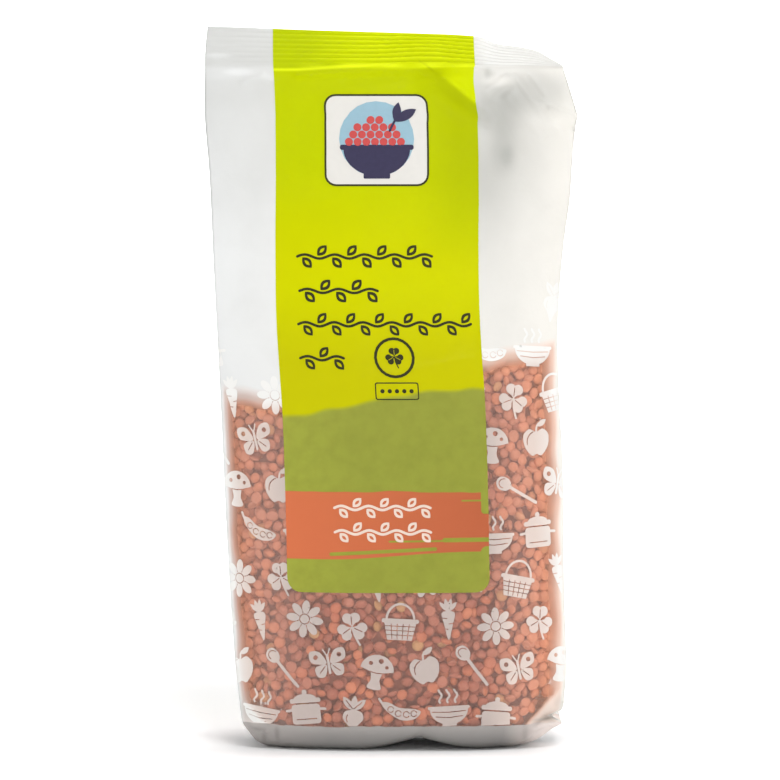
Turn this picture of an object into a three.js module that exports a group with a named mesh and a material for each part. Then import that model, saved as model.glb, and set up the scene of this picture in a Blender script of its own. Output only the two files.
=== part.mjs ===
// A sealed film bag of lentils that stands on its filled lower half, with its crimped seal on top.
// Millimetres. The front faces -Y, +X is to the right of the front, and +Z is up.
// The origin is on the surface that the bag stands on, under the middle of its box.
import * as THREE from "three";

// Side creases seen from the front: height, then distance from the middle line
const LEFT_CREASE = [
  [10, -57.8], [21, -58.15], [51, -60.1], [85, -61.9], [120, -63.5], [169, -66], [200, -67.5], [220, -69.1],
  [236, -69.2],
];
const RIGHT_CREASE = [
  [17, 56], [24, 56.6], [53, 55.9], [100, 55.2], [125, 53.9], [148, 53.6], [175, 55.6], [191, 57.8],
  [205, 58.8], [216.5, 60], [219.4, 60.6], [221.5, 60.1], [236, 55.9],
];

// Depth of the bag: height, then size. The creases lie off the middle plane by CREASE_DEPTH, the two
// panels bulge past them, and the gussets between the creases fold inwards by PLEAT_DEPTH.
const CREASE_DEPTH = [[12, 12], [50, 13.5], [115, 13], [155, 10.5], [195, 6.5], [225, 2.6], [236, 0.35]];
const FRONT_BULGE = [[12, 12.5], [60, 16], [110, 15], [150, 11], [190, 6.5], [225, 2.4], [236, 0]];
const BACK_BULGE = [[12, 10.5], [60, 13], [110, 12.5], [150, 9.5], [190, 6], [225, 2.4], [236, 0]];
const PLEAT_DEPTH = [[12, 0.4], [120, 1], [150, 2.5], [200, 8], [220, 6.5], [234, 0.3], [236, 0]];
const PANEL_CROWN = 3;
const GUSSET_CROWN = 1.5;

// Height of the surface below, and the rounded edge round the base: the height where it leaves the wall
// and its reach under the bag, at the left and the right end
const BASE_Z = -0.9;
const CORNER_HEIGHT = { left: 11, right: 17 };
const CORNER_REACH = { left: 12, right: 20 };
const FRONT_EDGE_REACH = 11;

// Arch between the two lobes that the bag stands on, deepest under the front
const ARCH_HEIGHT = 4.4;
const ARCH_X = 5.4;
const ARCH_HALF_WIDTH = 22;
const ARCH_POWER = 1.6;
const ARCH_MIDDLE_SHARE = 0.65;
const ARCH_LOSS_PER_MM = 0.025;

// Right bottom corner, where the film folds over itself: a slit and the flap below it
const SLIT_Z = 10.6;
const SLIT_DEPTH = 3;
const SLIT_HALF_HEIGHT = 1.6;
const FLAP_Z = 7.8;
const FLAP_REACH = 2.2;
const FLAP_HALF_HEIGHT = 1.5;
const FOLD_START_X = 40;
const FOLD_RUN = 12;

// Crimped seal: it leans back, more and more towards the right end, which is folded over, and it is
// narrower at the top of its left end by SEAL_TAPER
const SEAL_Z = 236;
const SEAL_LENGTH = 14.5;
const SEAL_TAPER = 1;
const SEAL_RIBS = 8;
const RIB_HEIGHT = 0.5;
const SEAL_LEAN_DEG = [
  [-69.6, 5], [-45, 21], [0, 33], [21, 38.5], [27, 42], [32, 53], [42, 60.5], [47, 66], [52, 78], [56, 87],
];
const SEAL_SET_BACK = [[-69.6, 0], [10, 0], [30, 1.5], [45, 4], [56, 6]];
const BEND_START_Z = 190;

// Folds of the front and the back film: start, end, half width, and height, negative for a hollow
const FRONT_FOLDS = [
  { from: [9, 236], to: [28, 222], width: 5, height: 2.2 },
  { from: [4, 226], to: [20, 210], width: 7, height: -1.2 },
  { from: [29, 236], to: [30, 231], width: 4, height: -1.6 },
  { from: [35, 212], to: [43, 195], width: 8, height: -2.2 },
  { from: [47, 232], to: [59, 219], width: 4, height: 1.2 },
  { from: [-56, 215], to: [-58, 160], width: 9, height: -1.2 },
];
const BACK_FOLDS = [
  { from: [-12, 234], to: [-34, 214], width: 6, height: 1.8 },
  { from: [30, 205], to: [40, 170], width: 9, height: -1.8 },
  { from: [-45, 190], to: [-50, 150], width: 9, height: -1.4 },
];

// Fineness of the faces
const PANEL_STEPS = 26;
const GUSSET_STEPS = 6;
const WALL_STEPS = 40;
const CORNER_STEPS = 9;
const BASE_RINGS = 4;

// Smooth curve through stations of [place, value]
function along(stations, place) {
  const last = stations.length - 1;
  if (place <= stations[0][0]) return stations[0][1];
  if (place >= stations[last][0]) return stations[last][1];
  const secant = (i) => (stations[i + 1][1] - stations[i][1]) / (stations[i + 1][0] - stations[i][0]);
  const slope = (i) => {
    if (i === 0) return secant(0);
    if (i === last) return secant(last - 1);
    return (secant(i - 1) + secant(i)) / 2;
  };
  const i = stations.findIndex((station, k) => k < last && place < stations[k + 1][0]);
  const run = stations[i + 1][0] - stations[i][0];
  const t = (place - stations[i][0]) / run;
  return (
    stations[i][1] * (1 + 2 * t) * (1 - t) ** 2 +
    stations[i + 1][1] * (3 - 2 * t) * t ** 2 +
    run * (slope(i) * t * (1 - t) ** 2 - slope(i + 1) * (1 - t) * t ** 2)
  );
}

// Height of the folds over the film at one place
function relief(folds, x, z) {
  const place = new THREE.Vector2(x, z);
  let height = 0;
  for (const fold of folds) {
    const start = new THREE.Vector2(...fold.from);
    const run = new THREE.Vector2(...fold.to).sub(start);
    const share = THREE.MathUtils.clamp(place.clone().sub(start).dot(run) / run.lengthSq(), 0, 1);
    const distance = place.distanceTo(start.addScaledVector(run, share));
    height += fold.height * Math.exp(-((distance / fold.width) ** 2));
  }
  return height;
}

// Columns round the bag, seen from above, from the middle of the left gusset by way of the front.
// face is front, right, back or left, and across runs from -1 to 1 along X on a panel, along Y on a gusset.
function columnsRound() {
  const columns = [];
  const addRun = (face, from, to, steps) => {
    for (let i = 0; i < steps; i++) columns.push({ face, across: from + ((to - from) * i) / steps });
  };
  addRun("left", 0, -1, GUSSET_STEPS / 2);
  addRun("front", -1, 1, PANEL_STEPS);
  addRun("right", -1, 1, GUSSET_STEPS);
  addRun("back", 1, -1, PANEL_STEPS);
  addRun("left", 1, 0, GUSSET_STEPS / 2);
  return columns;
}

// Left end, middle and half of the bag's width at one height
function widthAt(z) {
  const left = along(LEFT_CREASE, z);
  const right = along(RIGHT_CREASE, z);
  return { left, middle: (left + right) / 2, half: (right - left) / 2 };
}

// Share of the set-back at the seal that the film has at one height
function bendShare(z) {
  return THREE.MathUtils.clamp((z - BEND_START_Z) / (SEAL_Z - BEND_START_Z), 0, 1) ** 2;
}

// Film of the wall, from the rounded edge up to the seal
function wallPoint({ face, across }, z) {
  const { middle, half } = widthAt(z);
  const crease = along(CREASE_DEPTH, z);
  const point = new THREE.Vector3(0, 0, z);
  if (face === "front" || face === "back") {
    const bulge = along(face === "front" ? FRONT_BULGE : BACK_BULGE, z);
    const folds = face === "front" ? FRONT_FOLDS : BACK_FOLDS;
    const crown = 1 - Math.abs(across) ** PANEL_CROWN;
    point.x = middle + half * across;
    point.y = crease + bulge * crown + relief(folds, point.x, z) * crown * Math.min(1, (SEAL_Z - z) / 3);
    if (face === "front") point.y = -point.y;
  } else {
    const inset = along(PLEAT_DEPTH, z) * (1 - Math.abs(across) ** GUSSET_CROWN);
    point.x = middle + (face === "right" ? half - inset : inset - half);
    point.y = crease * across;
  }
  point.y += along(SEAL_SET_BACK, point.x) * bendShare(z);
  return point;
}

// Height of the rounded edge at one place across the bag
function cornerHeight(x) {
  const { middle, half } = widthAt(CORNER_HEIGHT.right);
  const share = THREE.MathUtils.clamp((x - middle) / (2 * half) + 0.5, 0, 1);
  return THREE.MathUtils.lerp(CORNER_HEIGHT.left, CORNER_HEIGHT.right, share);
}

// Height of the underside, with its arch
function arch(x, y) {
  const share = Math.max(0, 1 - Math.abs(x - ARCH_X) / ARCH_HALF_WIDTH) ** ARCH_POWER;
  return BASE_Z + ARCH_HEIGHT * share * (ARCH_MIDDLE_SHARE - ARCH_LOSS_PER_MM * y);
}

// Rounded edge, from angle 0 where it leaves the wall to 90 degrees where it reaches the base
function edgePoint(column, angle) {
  const { middle, half } = widthAt(CORNER_HEIGHT.right);
  const top = wallPoint(column, cornerHeight(middle + half * sideShare(column)));
  const inset = 1 - Math.cos(angle);
  const reach = top.x < middle ? CORNER_REACH.left : CORNER_REACH.right;
  const depth = along(CREASE_DEPTH, top.z) + along(FRONT_BULGE, top.z);
  const x = middle + (top.x - middle) * (1 - (reach / half) * inset);
  const y = top.y * (1 - (FRONT_EDGE_REACH / depth) * inset);
  const drop = Math.sin(angle);
  const z = THREE.MathUtils.lerp(top.z, BASE_Z, drop) + (arch(x, y) - BASE_Z) * drop ** 2;
  const slit = SLIT_DEPTH * Math.exp(-(((z - SLIT_Z) / SLIT_HALF_HEIGHT) ** 2));
  const flap = FLAP_REACH * Math.exp(-(((z - FLAP_Z) / FLAP_HALF_HEIGHT) ** 2));
  const foldShare = THREE.MathUtils.clamp((x - FOLD_START_X) / FOLD_RUN, 0, 1);
  return new THREE.Vector3(x + (flap - slit) * foldShare, y, z);
}

// Place of a column across the bag, from -1 at the left to 1 at the right
function sideShare({ face, across }) {
  if (face === "left") return -1;
  if (face === "right") return 1;
  return across;
}

// Both layers of the seal, at one distance from its base line along the film
function sealPoint(column, distance) {
  const base = wallPoint(column, SEAL_Z);
  const setBack = along(SEAL_SET_BACK, base.x);
  const layer = base.y - setBack;
  const lean = THREE.MathUtils.degToRad(along(SEAL_LEAN_DEG, base.x));
  const wave = (RIB_HEIGHT / 2) * Math.sin((2 * Math.PI * SEAL_RIBS * distance) / SEAL_LENGTH);
  const taper = SEAL_TAPER * (distance / SEAL_LENGTH) ** 2 * Math.max(0, base.x / widthAt(SEAL_Z).left);
  return new THREE.Vector3(
    base.x + taper,
    setBack + distance * Math.sin(lean) + (layer + wave) * Math.cos(lean),
    SEAL_Z + distance * Math.cos(lean) - (layer + wave) * Math.sin(lean),
  );
}

// Rings of points from the middle of the base to the top edge of the seal
function bagRings(columns) {
  const rings = [];
  const { middle } = widthAt(CORNER_HEIGHT.right);
  for (let i = 1; i < BASE_RINGS; i++) {
    const share = i / BASE_RINGS;
    rings.push(
      columns.map((column) => {
        const rim = edgePoint(column, Math.PI / 2);
        const x = middle + (rim.x - middle) * share;
        const y = rim.y * share;
        return new THREE.Vector3(x, y, arch(x, y));
      }),
    );
  }
  for (let i = 0; i < CORNER_STEPS; i++) {
    const angle = (Math.PI / 2) * (1 - i / CORNER_STEPS);
    rings.push(columns.map((column) => edgePoint(column, angle)));
  }
  for (let i = 0; i <= WALL_STEPS; i++) {
    rings.push(
      columns.map((column) => {
        const start = edgePoint(column, 0).z;
        return wallPoint(column, THREE.MathUtils.lerp(start, SEAL_Z, i / WALL_STEPS));
      }),
    );
  }
  const ribStep = SEAL_LENGTH / SEAL_RIBS;
  for (let i = 0; i < SEAL_RIBS; i++) {
    rings.push(columns.map((column) => sealPoint(column, (i + 0.25) * ribStep)));
    rings.push(columns.map((column) => sealPoint(column, (i + 0.75) * ribStep)));
  }
  rings.push(columns.map((column) => sealPoint(column, SEAL_LENGTH)));
  return rings;
}

// Closed surface: rings joined by bands, a fan under the base, and the seal's two layers joined on top
function bagGeometry() {
  const columns = columnsRound();
  const count = columns.length;
  const rings = bagRings(columns);
  const { middle } = widthAt(CORNER_HEIGHT.right);
  const points = [new THREE.Vector3(middle, 0, arch(middle, 0)), ...rings.flat()];
  const at = (ring, column) => 1 + ring * count + (column % count);
  const faces = [];
  for (let column = 0; column < count; column++) {
    faces.push(0, at(0, column + 1), at(0, column));
    for (let ring = 0; ring < rings.length - 1; ring++) {
      faces.push(at(ring, column), at(ring, column + 1), at(ring + 1, column + 1));
      faces.push(at(ring, column), at(ring + 1, column + 1), at(ring + 1, column));
    }
  }
  const top = rings.length - 1;
  for (let column = 0; column < count / 2; column++) {
    const opposite = count - column;
    if (column > 0) faces.push(at(top, column), at(top, column + 1), at(top, opposite));
    if (column + 1 < count / 2) faces.push(at(top, column + 1), at(top, opposite - 1), at(top, opposite));
  }
  const geometry = new THREE.BufferGeometry().setFromPoints(points);
  geometry.setIndex(faces);
  geometry.computeBoundingBox();
  const box = geometry.boundingBox;
  const centre = box.getCenter(new THREE.Vector3());
  geometry.translate(-centre.x, -centre.y, -box.min.z);
  geometry.computeVertexNormals();
  return geometry;
}

// Frosted film with the warm tone of the lentils behind it
const film = new THREE.MeshStandardMaterial({ color: 0xe6d8cc, roughness: 0.4, metalness: 0 });

const bag = new THREE.Mesh(bagGeometry(), film);
bag.name = "bag";

const model = new THREE.Group();
model.add(bag);

export default model;
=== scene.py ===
"""A sealed film bag of split red lentils that stands on its filled lower half.

The shape is worked out in millimetres in the bag's own frame, whose middle line is x = 0, and each mesh is
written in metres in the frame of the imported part. The front faces -Y.
"""

import math

import bmesh
import bpy
import numpy as np
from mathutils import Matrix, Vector, geometry


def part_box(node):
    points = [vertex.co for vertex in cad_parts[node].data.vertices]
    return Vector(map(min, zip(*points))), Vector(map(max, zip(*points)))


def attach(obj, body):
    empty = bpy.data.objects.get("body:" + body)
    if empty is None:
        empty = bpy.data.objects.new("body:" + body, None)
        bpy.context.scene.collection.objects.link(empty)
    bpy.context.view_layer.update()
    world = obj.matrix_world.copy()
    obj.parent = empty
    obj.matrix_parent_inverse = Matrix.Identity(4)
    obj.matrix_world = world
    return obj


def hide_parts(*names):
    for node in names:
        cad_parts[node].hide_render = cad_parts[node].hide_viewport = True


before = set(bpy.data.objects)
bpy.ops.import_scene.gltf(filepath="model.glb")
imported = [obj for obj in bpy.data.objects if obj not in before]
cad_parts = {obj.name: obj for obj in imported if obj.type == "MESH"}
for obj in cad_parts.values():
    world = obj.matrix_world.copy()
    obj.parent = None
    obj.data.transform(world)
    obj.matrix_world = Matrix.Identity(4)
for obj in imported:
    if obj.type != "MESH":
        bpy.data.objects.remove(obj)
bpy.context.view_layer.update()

MM = 0.001
SEED = 23

# Side creases seen from the front: height, then distance from the middle line
LEFT_CREASE = [
    [10, -56.6], [21, -57.9], [51, -60.1], [85, -61.9], [120, -63.5], [169, -66], [200, -67.5], [220, -69.1],
    [236, -69.2],
]
RIGHT_CREASE = [
    [17, 56], [24, 56.6], [53, 55.9], [100, 55.2], [125, 53.9], [148, 53.6], [175, 55.6], [191, 57.8],
    [205, 58.8], [216.5, 60], [219.4, 60.6], [221.5, 60.1], [236, 55.9],
]

# Depth of the bag: height, then size
CREASE_DEPTH = [[12, 12], [50, 13.5], [115, 13], [155, 10.5], [195, 6.5], [225, 2.6], [236, 0.35]]
FRONT_BULGE = [[12, 12.5], [60, 16], [110, 15], [150, 11], [190, 6.5], [225, 2.4], [236, 0]]
BACK_BULGE = [[12, 10.5], [60, 13], [110, 12.5], [150, 9.5], [190, 6], [225, 2.4], [236, 0]]
PLEAT_DEPTH = [[12, 0.4], [120, 1], [150, 2.5], [200, 8], [220, 6.5], [234, 0.3], [236, 0]]
PANEL_CROWN = 3
GUSSET_CROWN = 1.5

# Height of the surface below, and the rounded edge round the base: the height where it leaves the wall
# and its reach under the bag, at the left and the right end
BASE_Z = -0.9
CORNER_HEIGHT = {"left": 11, "right": 17}
CORNER_REACH = {"left": 12, "right": 20}
FRONT_EDGE_REACH = 11

# Arch between the two lobes that the bag stands on
ARCH_HEIGHT = 4.4
ARCH_X = 5.4
ARCH_HALF_WIDTH = 22
ARCH_POWER = 1.6
ARCH_MIDDLE_SHARE = 0.65
ARCH_LOSS_PER_MM = 0.025

# Right bottom corner, where the film folds over itself: a slit and the flap below it
SLIT_Z = 10.6
SLIT_DEPTH = 3.2
SLIT_HALF_HEIGHT = 1.2
FLAP_Z = 7.8
FLAP_REACH = 2.2
FLAP_HALF_HEIGHT = 1.5

# Left bottom corner, where the film is tucked in and so rounder
TUCK_Z = 4.5
TUCK_DEPTH = 1.0
TUCK_HALF_HEIGHT = 4.5

# Both corners fold from this far out from the middle line, and fully after the run
FOLD_START_X = 40
FOLD_RUN = 12

# Crimped seal
SEAL_Z = 236
SEAL_LENGTH = 14.5
SEAL_TAPER = 1
SEAL_RIBS = 8
RIB_HEIGHT = 0.42
RIB_BOW = 1.3
RIB_BOW_X = 8
RIB_BOW_REACH = 13
SEAL_LEAN_DEG = [
    [-69.6, 5], [-45, 21], [0, 33], [21, 38.5], [27, 42], [32, 53], [42, 60.5], [47, 66], [52, 78], [56, 87],
]
SEAL_SET_BACK = [[-69.6, 0], [10, 0], [30, 1.5], [45, 4], [56, 6]]
BEND_START_Z = 190

# Folds of the film: start, end, half width and height, negative for a hollow
FRONT_FOLDS = [
    ((9, 236), (28, 222), 5, 2.2),
    ((4, 226), (20, 210), 7, -1.2),
    ((29, 236), (30, 231), 4, -1.6),
    ((35, 212), (43, 195), 8, -2.2),
    ((47, 232), (59, 219), 4, 1.2),
    ((-56, 215), (-58, 160), 9, -1.2),
]
BACK_FOLDS = [
    ((-12, 234), (-34, 214), 6, 1.8),
    ((30, 205), (40, 170), 9, -1.8),
    ((-45, 190), (-50, 150), 9, -1.4),
]

# Finer folds, which only the film has
FRONT_CREASES = [
    ((-37, 233.6), (-8, 235.6), 1.1, 0.9),
    ((-20, 231.8), (4, 233.6), 1.6, -0.6),
    ((6, 236), (11.4, 232.6), 1.0, -0.8),
    ((8, 236), (13.5, 232.6), 1.0, 0.5),
    ((-4.7, 235), (-2.5, 233), 0.9, -0.5),
    ((13.5, 233.4), (28, 222), 1.0, 0.8),
    ((12, 228), (27, 216.5), 3.4, -1.5),
    ((27.5, 235.6), (30.4, 232.6), 1.3, -0.6),
    ((30.4, 232.6), (33.4, 235.6), 1.2, 0.7),
    ((30, 229), (35.5, 232.5), 1.5, 1.0),
    ((31, 225.5), (36, 229), 1.6, -0.8),
    ((-66, 234.6), (-45, 231.6), 1.0, 0.4),
    ((-56, 231), (-49, 233.6), 1.0, 0.5),
    ((39, 233), (50.5, 217), 1.0, 0.7),
    ((42.5, 233), (51, 221.5), 1.0, -0.7),
    ((36, 226), (48, 213), 1.4, 0.8),
    ((33, 222), (42, 206), 2.4, -0.6),
    ((48, 224), (60, 219.2), 0.9, 1.0),
    ((50, 220), (59, 215), 1.6, -0.8),
    ((54, 216), (58, 206), 1.8, 0.6),
    ((42, 7.5), (52, 18.5), 1.2, 0.9),
    ((47, 7.5), (54, 15), 1.8, -0.8),
    ((46, 12), (54, 12.5), 1.0, 0.6),
    ((46, 8.6), (53, 10.4), 0.8, -1.8),
    ((44, 5.8), (53, 7.4), 1.0, 0.9),
    ((40, 1), (44, 6), 1.2, -0.7),
    ((-53, 7.5), (-48, 5.2), 0.9, 0.9),
    ((-50, 6.5), (-48, 2.5), 0.8, -0.8),
    ((-44.5, 7.5), (-43, 2), 0.8, -0.8),
    ((-57, 16), (-47, 8.5), 1.0, 0.4),
    ((-57, 62), (-55, 40), 1.6, 0.4),
    ((52, 100), (55, 78), 1.6, 0.4),
    ((-60, 118), (-57, 100), 1.4, 0.4),
    ((50, 140), (42, 128), 2.6, 0.5),
]
BACK_CREASES = [
    ((-30, 234), (-38, 226), 1.6, 0.9),
    ((20, 235), (14, 227), 1.4, 0.8),
    ((46, 226), (52, 204), 2.4, 0.8),
    ((-60, 226), (-54, 208), 2.0, 0.7),
    ((-54, 8), (-46, 20), 1.4, 1.0),
    ((52, 9), (45, 18), 1.4, 0.8),
    ((-20, 224), (-6, 214), 2.4, 0.7),
]

# Lap seam up the middle of the back, and the folded end seal across the underside
SEAM_X = -3
SEAM_HALF = 5
SEAM_RISE = 0.5
END_SEAL_HALF = 7
END_SEAL_RISE = 0.5
END_SEAL_RIB = 2.4

# Lentils: height of the fill at places across the bag, and the empty ears along the creases
FILL_LINE = [[-70, 124.5], [-40, 121.5], [-20, 125.5], [0, 129], [30, 135.5], [57, 139]]
CONTACT_FALL = 8.5
CONTACT_RISE = 7
EAR_FADE = [[0, 0.95], [1.2, 0.84], [2.6, 0.57], [4.5, 0.36], [7, 0.23], [10, 0.12], [14, 0.04], [18, 0]]
EAR_REACH = {"left": 0.85, "right": 1.15}

# Bottom corners that hold no lentils: the slanted line from one point to the other cuts each one off
EMPTY_CORNERS = [((42.2, 7.5), (52.4, 18.7)), ((-57.5, 17), (-46, 7.5))]

# Fineness of the film
PANEL_STEPS = 140
GUSSET_STEPS = 24
WALL_STEPS = 110
TOP_WALL_STEPS = 42
TOP_WALL_SHARE = 0.86
CORNER_STEPS = 26
BASE_RINGS = 26
RIB_STEPS = 8

FRONT, RIGHT, BACK, LEFT = range(4)
BACK_OFFSET = 1000


def along(stations, place):
    """Smooth curve through stations of (place, value)."""
    x, y = np.array(stations, float).T
    secant = np.diff(y) / np.diff(x)
    slope = np.concatenate([secant[:1], (secant[1:] + secant[:-1]) / 2, secant[-1:]])
    place = np.clip(place, x[0], x[-1])
    i = np.clip(np.searchsorted(x, place, "right") - 1, 0, len(x) - 2)
    run = x[i + 1] - x[i]
    t = (place - x[i]) / run
    return (
        y[i] * (1 + 2 * t) * (1 - t) ** 2
        + y[i + 1] * (3 - 2 * t) * t**2
        + run * (slope[i] * t * (1 - t) ** 2 - slope[i + 1] * (1 - t) * t**2)
    )


def smooth(low, high, value):
    """Smooth step from 0 at low to 1 at high."""
    t = np.clip((value - low) / (high - low), 0, 1)
    return t * t * (3 - 2 * t)


def relief(folds, x, z):
    """Height of the folds over the film."""
    height = np.zeros(np.broadcast(x, z).shape)
    for (x0, z0), (x1, z1), width, rise in folds:
        run_x, run_z = x1 - x0, z1 - z0
        share = np.clip(((x - x0) * run_x + (z - z0) * run_z) / (run_x**2 + run_z**2), 0, 1)
        distance = np.hypot(x - x0 - share * run_x, z - z0 - share * run_z)
        height += rise * np.exp(-((distance / width) ** 2))
    return height


def back_relief(x, z):
    """Folds of the back, with the step of its lap seam."""
    lap = smooth(SEAM_HALF + 0.3, SEAM_HALF - 0.3, np.abs(x - SEAM_X))
    return relief(BACK_CREASES, x, z) + SEAM_RISE * lap


def make_waves(count, shortest, longest):
    """Random waves as rows of (wave number across, wave number up, phase)."""
    turn = rng.uniform(0, math.tau, count)
    number = math.tau / rng.uniform(shortest, longest, count)
    return np.stack([number * np.cos(turn), number * np.sin(turn), rng.uniform(0, math.tau, count)], 1)


def wavy(waves, x, z):
    """Sum of the waves at a place, about -1 to 1."""
    total = sum(np.sin(a * x + b * z + c) for a, b, c in waves)
    return total / math.sqrt(len(waves)) / 1.4


rng = np.random.default_rng(SEED)
SLACK_WAVES = make_waves(14, 26, 80)
CRINKLE_WAVES = make_waves(20, 7, 18)
EDGE_WAVES = make_waves(10, 9, 26)


def width_at(z):
    left, right = along(LEFT_CREASE, z), along(RIGHT_CREASE, z)
    return (left + right) / 2, (right - left) / 2


def wall(face, across, z, fine=True):
    """Film of the wall at arrays of face, place across and height."""
    middle, half = width_at(z)
    crease = along(CREASE_DEPTH, z)
    panel = (face == FRONT) | (face == BACK)
    side = np.where(face == RIGHT, 1.0, -1.0)
    inset = along(PLEAT_DEPTH, z) * (1 - np.abs(across) ** GUSSET_CROWN)
    x = np.where(panel, middle + half * across, middle + side * (half - inset))
    crown = 1 - np.abs(across) ** PANEL_CROWN
    bulge = np.where(face == FRONT, along(FRONT_BULGE, z), along(BACK_BULGE, z))
    folds = np.where(face == FRONT, relief(FRONT_FOLDS, x, z), relief(BACK_FOLDS, x, z))
    hold = np.minimum(1, (SEAL_Z - z) / 3)
    depth = crease + bulge * crown + folds * crown * hold
    if fine:
        creases = np.where(face == FRONT, relief(FRONT_CREASES, x, z), back_relief(x, z))
        slack = smooth(105, 150, z)
        rumple = wavy(SLACK_WAVES, x + 300 * (face == BACK), z) * (0.12 + 0.45 * slack)
        rumple += wavy(CRINKLE_WAVES, x + 300 * (face == BACK), z) * (0.04 + 0.07 * slack)
        depth += (creases + rumple * np.minimum(1, 3 * crown)) * np.clip(hold, 0, 1)
    y = np.where(panel, np.where(face == FRONT, -depth, depth), crease * across)
    if fine:
        ripple = wavy(EDGE_WAVES, 40.0 * side, z) * 0.35 * (1 - np.abs(across) ** 4)
        x = np.where(panel, x, x + side * ripple * np.clip(hold, 0, 1))
    y = y + along(SEAL_SET_BACK, x) * np.clip((z - BEND_START_Z) / (SEAL_Z - BEND_START_Z), 0, 1) ** 2
    return np.stack([x, y, np.broadcast_to(z, x.shape)], -1)


def corner_height(face, across):
    """Height of the rounded edge for each column."""
    share = np.where(face == LEFT, -1.0, np.where(face == RIGHT, 1.0, across))
    return CORNER_HEIGHT["left"] + (CORNER_HEIGHT["right"] - CORNER_HEIGHT["left"]) * (share + 1) / 2


def arch(x, y):
    share = np.maximum(0, 1 - np.abs(x - ARCH_X) / ARCH_HALF_WIDTH) ** ARCH_POWER
    return BASE_Z + ARCH_HEIGHT * share * (ARCH_MIDDLE_SHARE - ARCH_LOSS_PER_MM * y)


def edge(face, across, angle):
    """Rounded edge, from angle 0 at the wall to a right angle at the base."""
    middle, half = width_at(CORNER_HEIGHT["right"])
    top = wall(face, across, corner_height(face, across))
    inset, drop = 1 - np.cos(angle), np.sin(angle)
    reach = np.where(top[..., 0] < middle, CORNER_REACH["left"], CORNER_REACH["right"])
    depth = along(CREASE_DEPTH, top[..., 2]) + along(FRONT_BULGE, top[..., 2])
    x = middle + (top[..., 0] - middle) * (1 - reach / half * inset)
    y = top[..., 1] * (1 - FRONT_EDGE_REACH / depth * inset)
    z = top[..., 2] + (BASE_Z - top[..., 2]) * drop + (arch(x, y) - BASE_Z) * drop**2
    slit = SLIT_DEPTH * np.exp(-(((z - SLIT_Z) / SLIT_HALF_HEIGHT) ** 2))
    flap = FLAP_REACH * np.exp(-(((z - FLAP_Z) / FLAP_HALF_HEIGHT) ** 2))
    tuck = TUCK_DEPTH * np.exp(-(((z - TUCK_Z) / TUCK_HALF_HEIGHT) ** 2)) * smooth(0, 0.6, drop)
    x = x + (flap - slit) * np.clip((x - FOLD_START_X) / FOLD_RUN, 0, 1)
    x = x + tuck * np.clip((-x - FOLD_START_X) / FOLD_RUN, 0, 1)
    behind = np.where(face == BACK, back_relief(x, z), 0)
    folds = np.where(face == FRONT, -relief(FRONT_CREASES, x, z), behind)
    started = smooth(0, 0.12, drop) * np.cos(angle)
    return np.stack([x, y + folds * started, z], -1)


def underside(x, y):
    """Height of the underside, raised off the floor except at the folded end seal across it."""
    inside = smooth(END_SEAL_HALF + 0.6, END_SEAL_HALF - 0.6, np.abs(y))
    rib = 0.5 - 0.5 * np.cos(math.tau * y / END_SEAL_RIB)
    return arch(x, y) + END_SEAL_RISE * (1 - inside * (1 - 0.5 * rib))


def rib_turn(x, distance):
    """Turn of the ribs at a place and a distance up the seal: each rib is half a turn."""
    bowed = RIB_BOW * np.exp(-(((x - RIB_BOW_X) / RIB_BOW_REACH) ** 2))
    bow = bowed * math.sin(math.pi * distance / SEAL_LENGTH)
    return math.pi * SEAL_RIBS * (distance - bow) / SEAL_LENGTH


def pressed_at(x):
    """How firmly the seal is pressed, weaker at its left end."""
    return 0.2 + 0.8 * smooth(-42, -5, x)


def rib_light(x, distance):
    """1 where a rib of the seal faces up to the light, -1 where it faces down, for painted highlight and
    shade; the lowest rib is painted lit.
    """
    turn = rib_turn(x, distance)
    first = smooth(2.4, 1.6, distance)
    lowest = 0.5 + 0.5 * wavy(EDGE_WAVES, x, 3 * distance)
    return pressed_at(x) * (first * lowest - (1 - first) * np.cos(turn) * np.sign(np.sin(turn)))


def seal(face, across, distance):
    """One layer of the seal, at one distance from its base line along the film."""
    base = wall(face, across, np.full(across.shape, float(SEAL_Z)))
    x = base[:, 0]
    set_back = along(SEAL_SET_BACK, x)
    lean = np.radians(along(SEAL_LEAN_DEG, x))
    uneven = 1 + 0.35 * wavy(EDGE_WAVES, x, 9 * round(SEAL_RIBS * distance / SEAL_LENGTH))
    rib = 0.6 - np.abs(np.sin(rib_turn(x, distance)))
    off = base[:, 1] - set_back + RIB_HEIGHT * pressed_at(x) * uneven * rib
    y = set_back + distance * np.sin(lean) + off * np.cos(lean)
    z = SEAL_Z + distance * np.cos(lean) - off * np.sin(lean)
    taper = SEAL_TAPER * (distance / SEAL_LENGTH) ** 2 * np.maximum(0, x / x.min())
    return np.stack([x + taper, y, z], -1)


def columns_round():
    """Face and place across of each column, from the middle of the back by way of the left side."""
    runs = [
        (BACK, 0, -1, PANEL_STEPS // 2),
        (LEFT, 1, -1, GUSSET_STEPS),
        (FRONT, -1, 1, PANEL_STEPS),
        (RIGHT, -1, 1, GUSSET_STEPS),
        (BACK, 1, 0, PANEL_STEPS // 2),
    ]
    face = np.concatenate([np.full(steps, code) for code, _, _, steps in runs])
    across = np.concatenate([np.linspace(a, b, steps, endpoint=False) for _, a, b, steps in runs])
    return face, across


# Middle of the front print at each height, which leans with the bag
PRINT_MIDDLE = [
    [0, -0.8], [54, -1.3], [92, -2], [120, -3], [150, -4.9], [225, -5.5], [237, -6.2], [251, -6.5],
]


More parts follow.
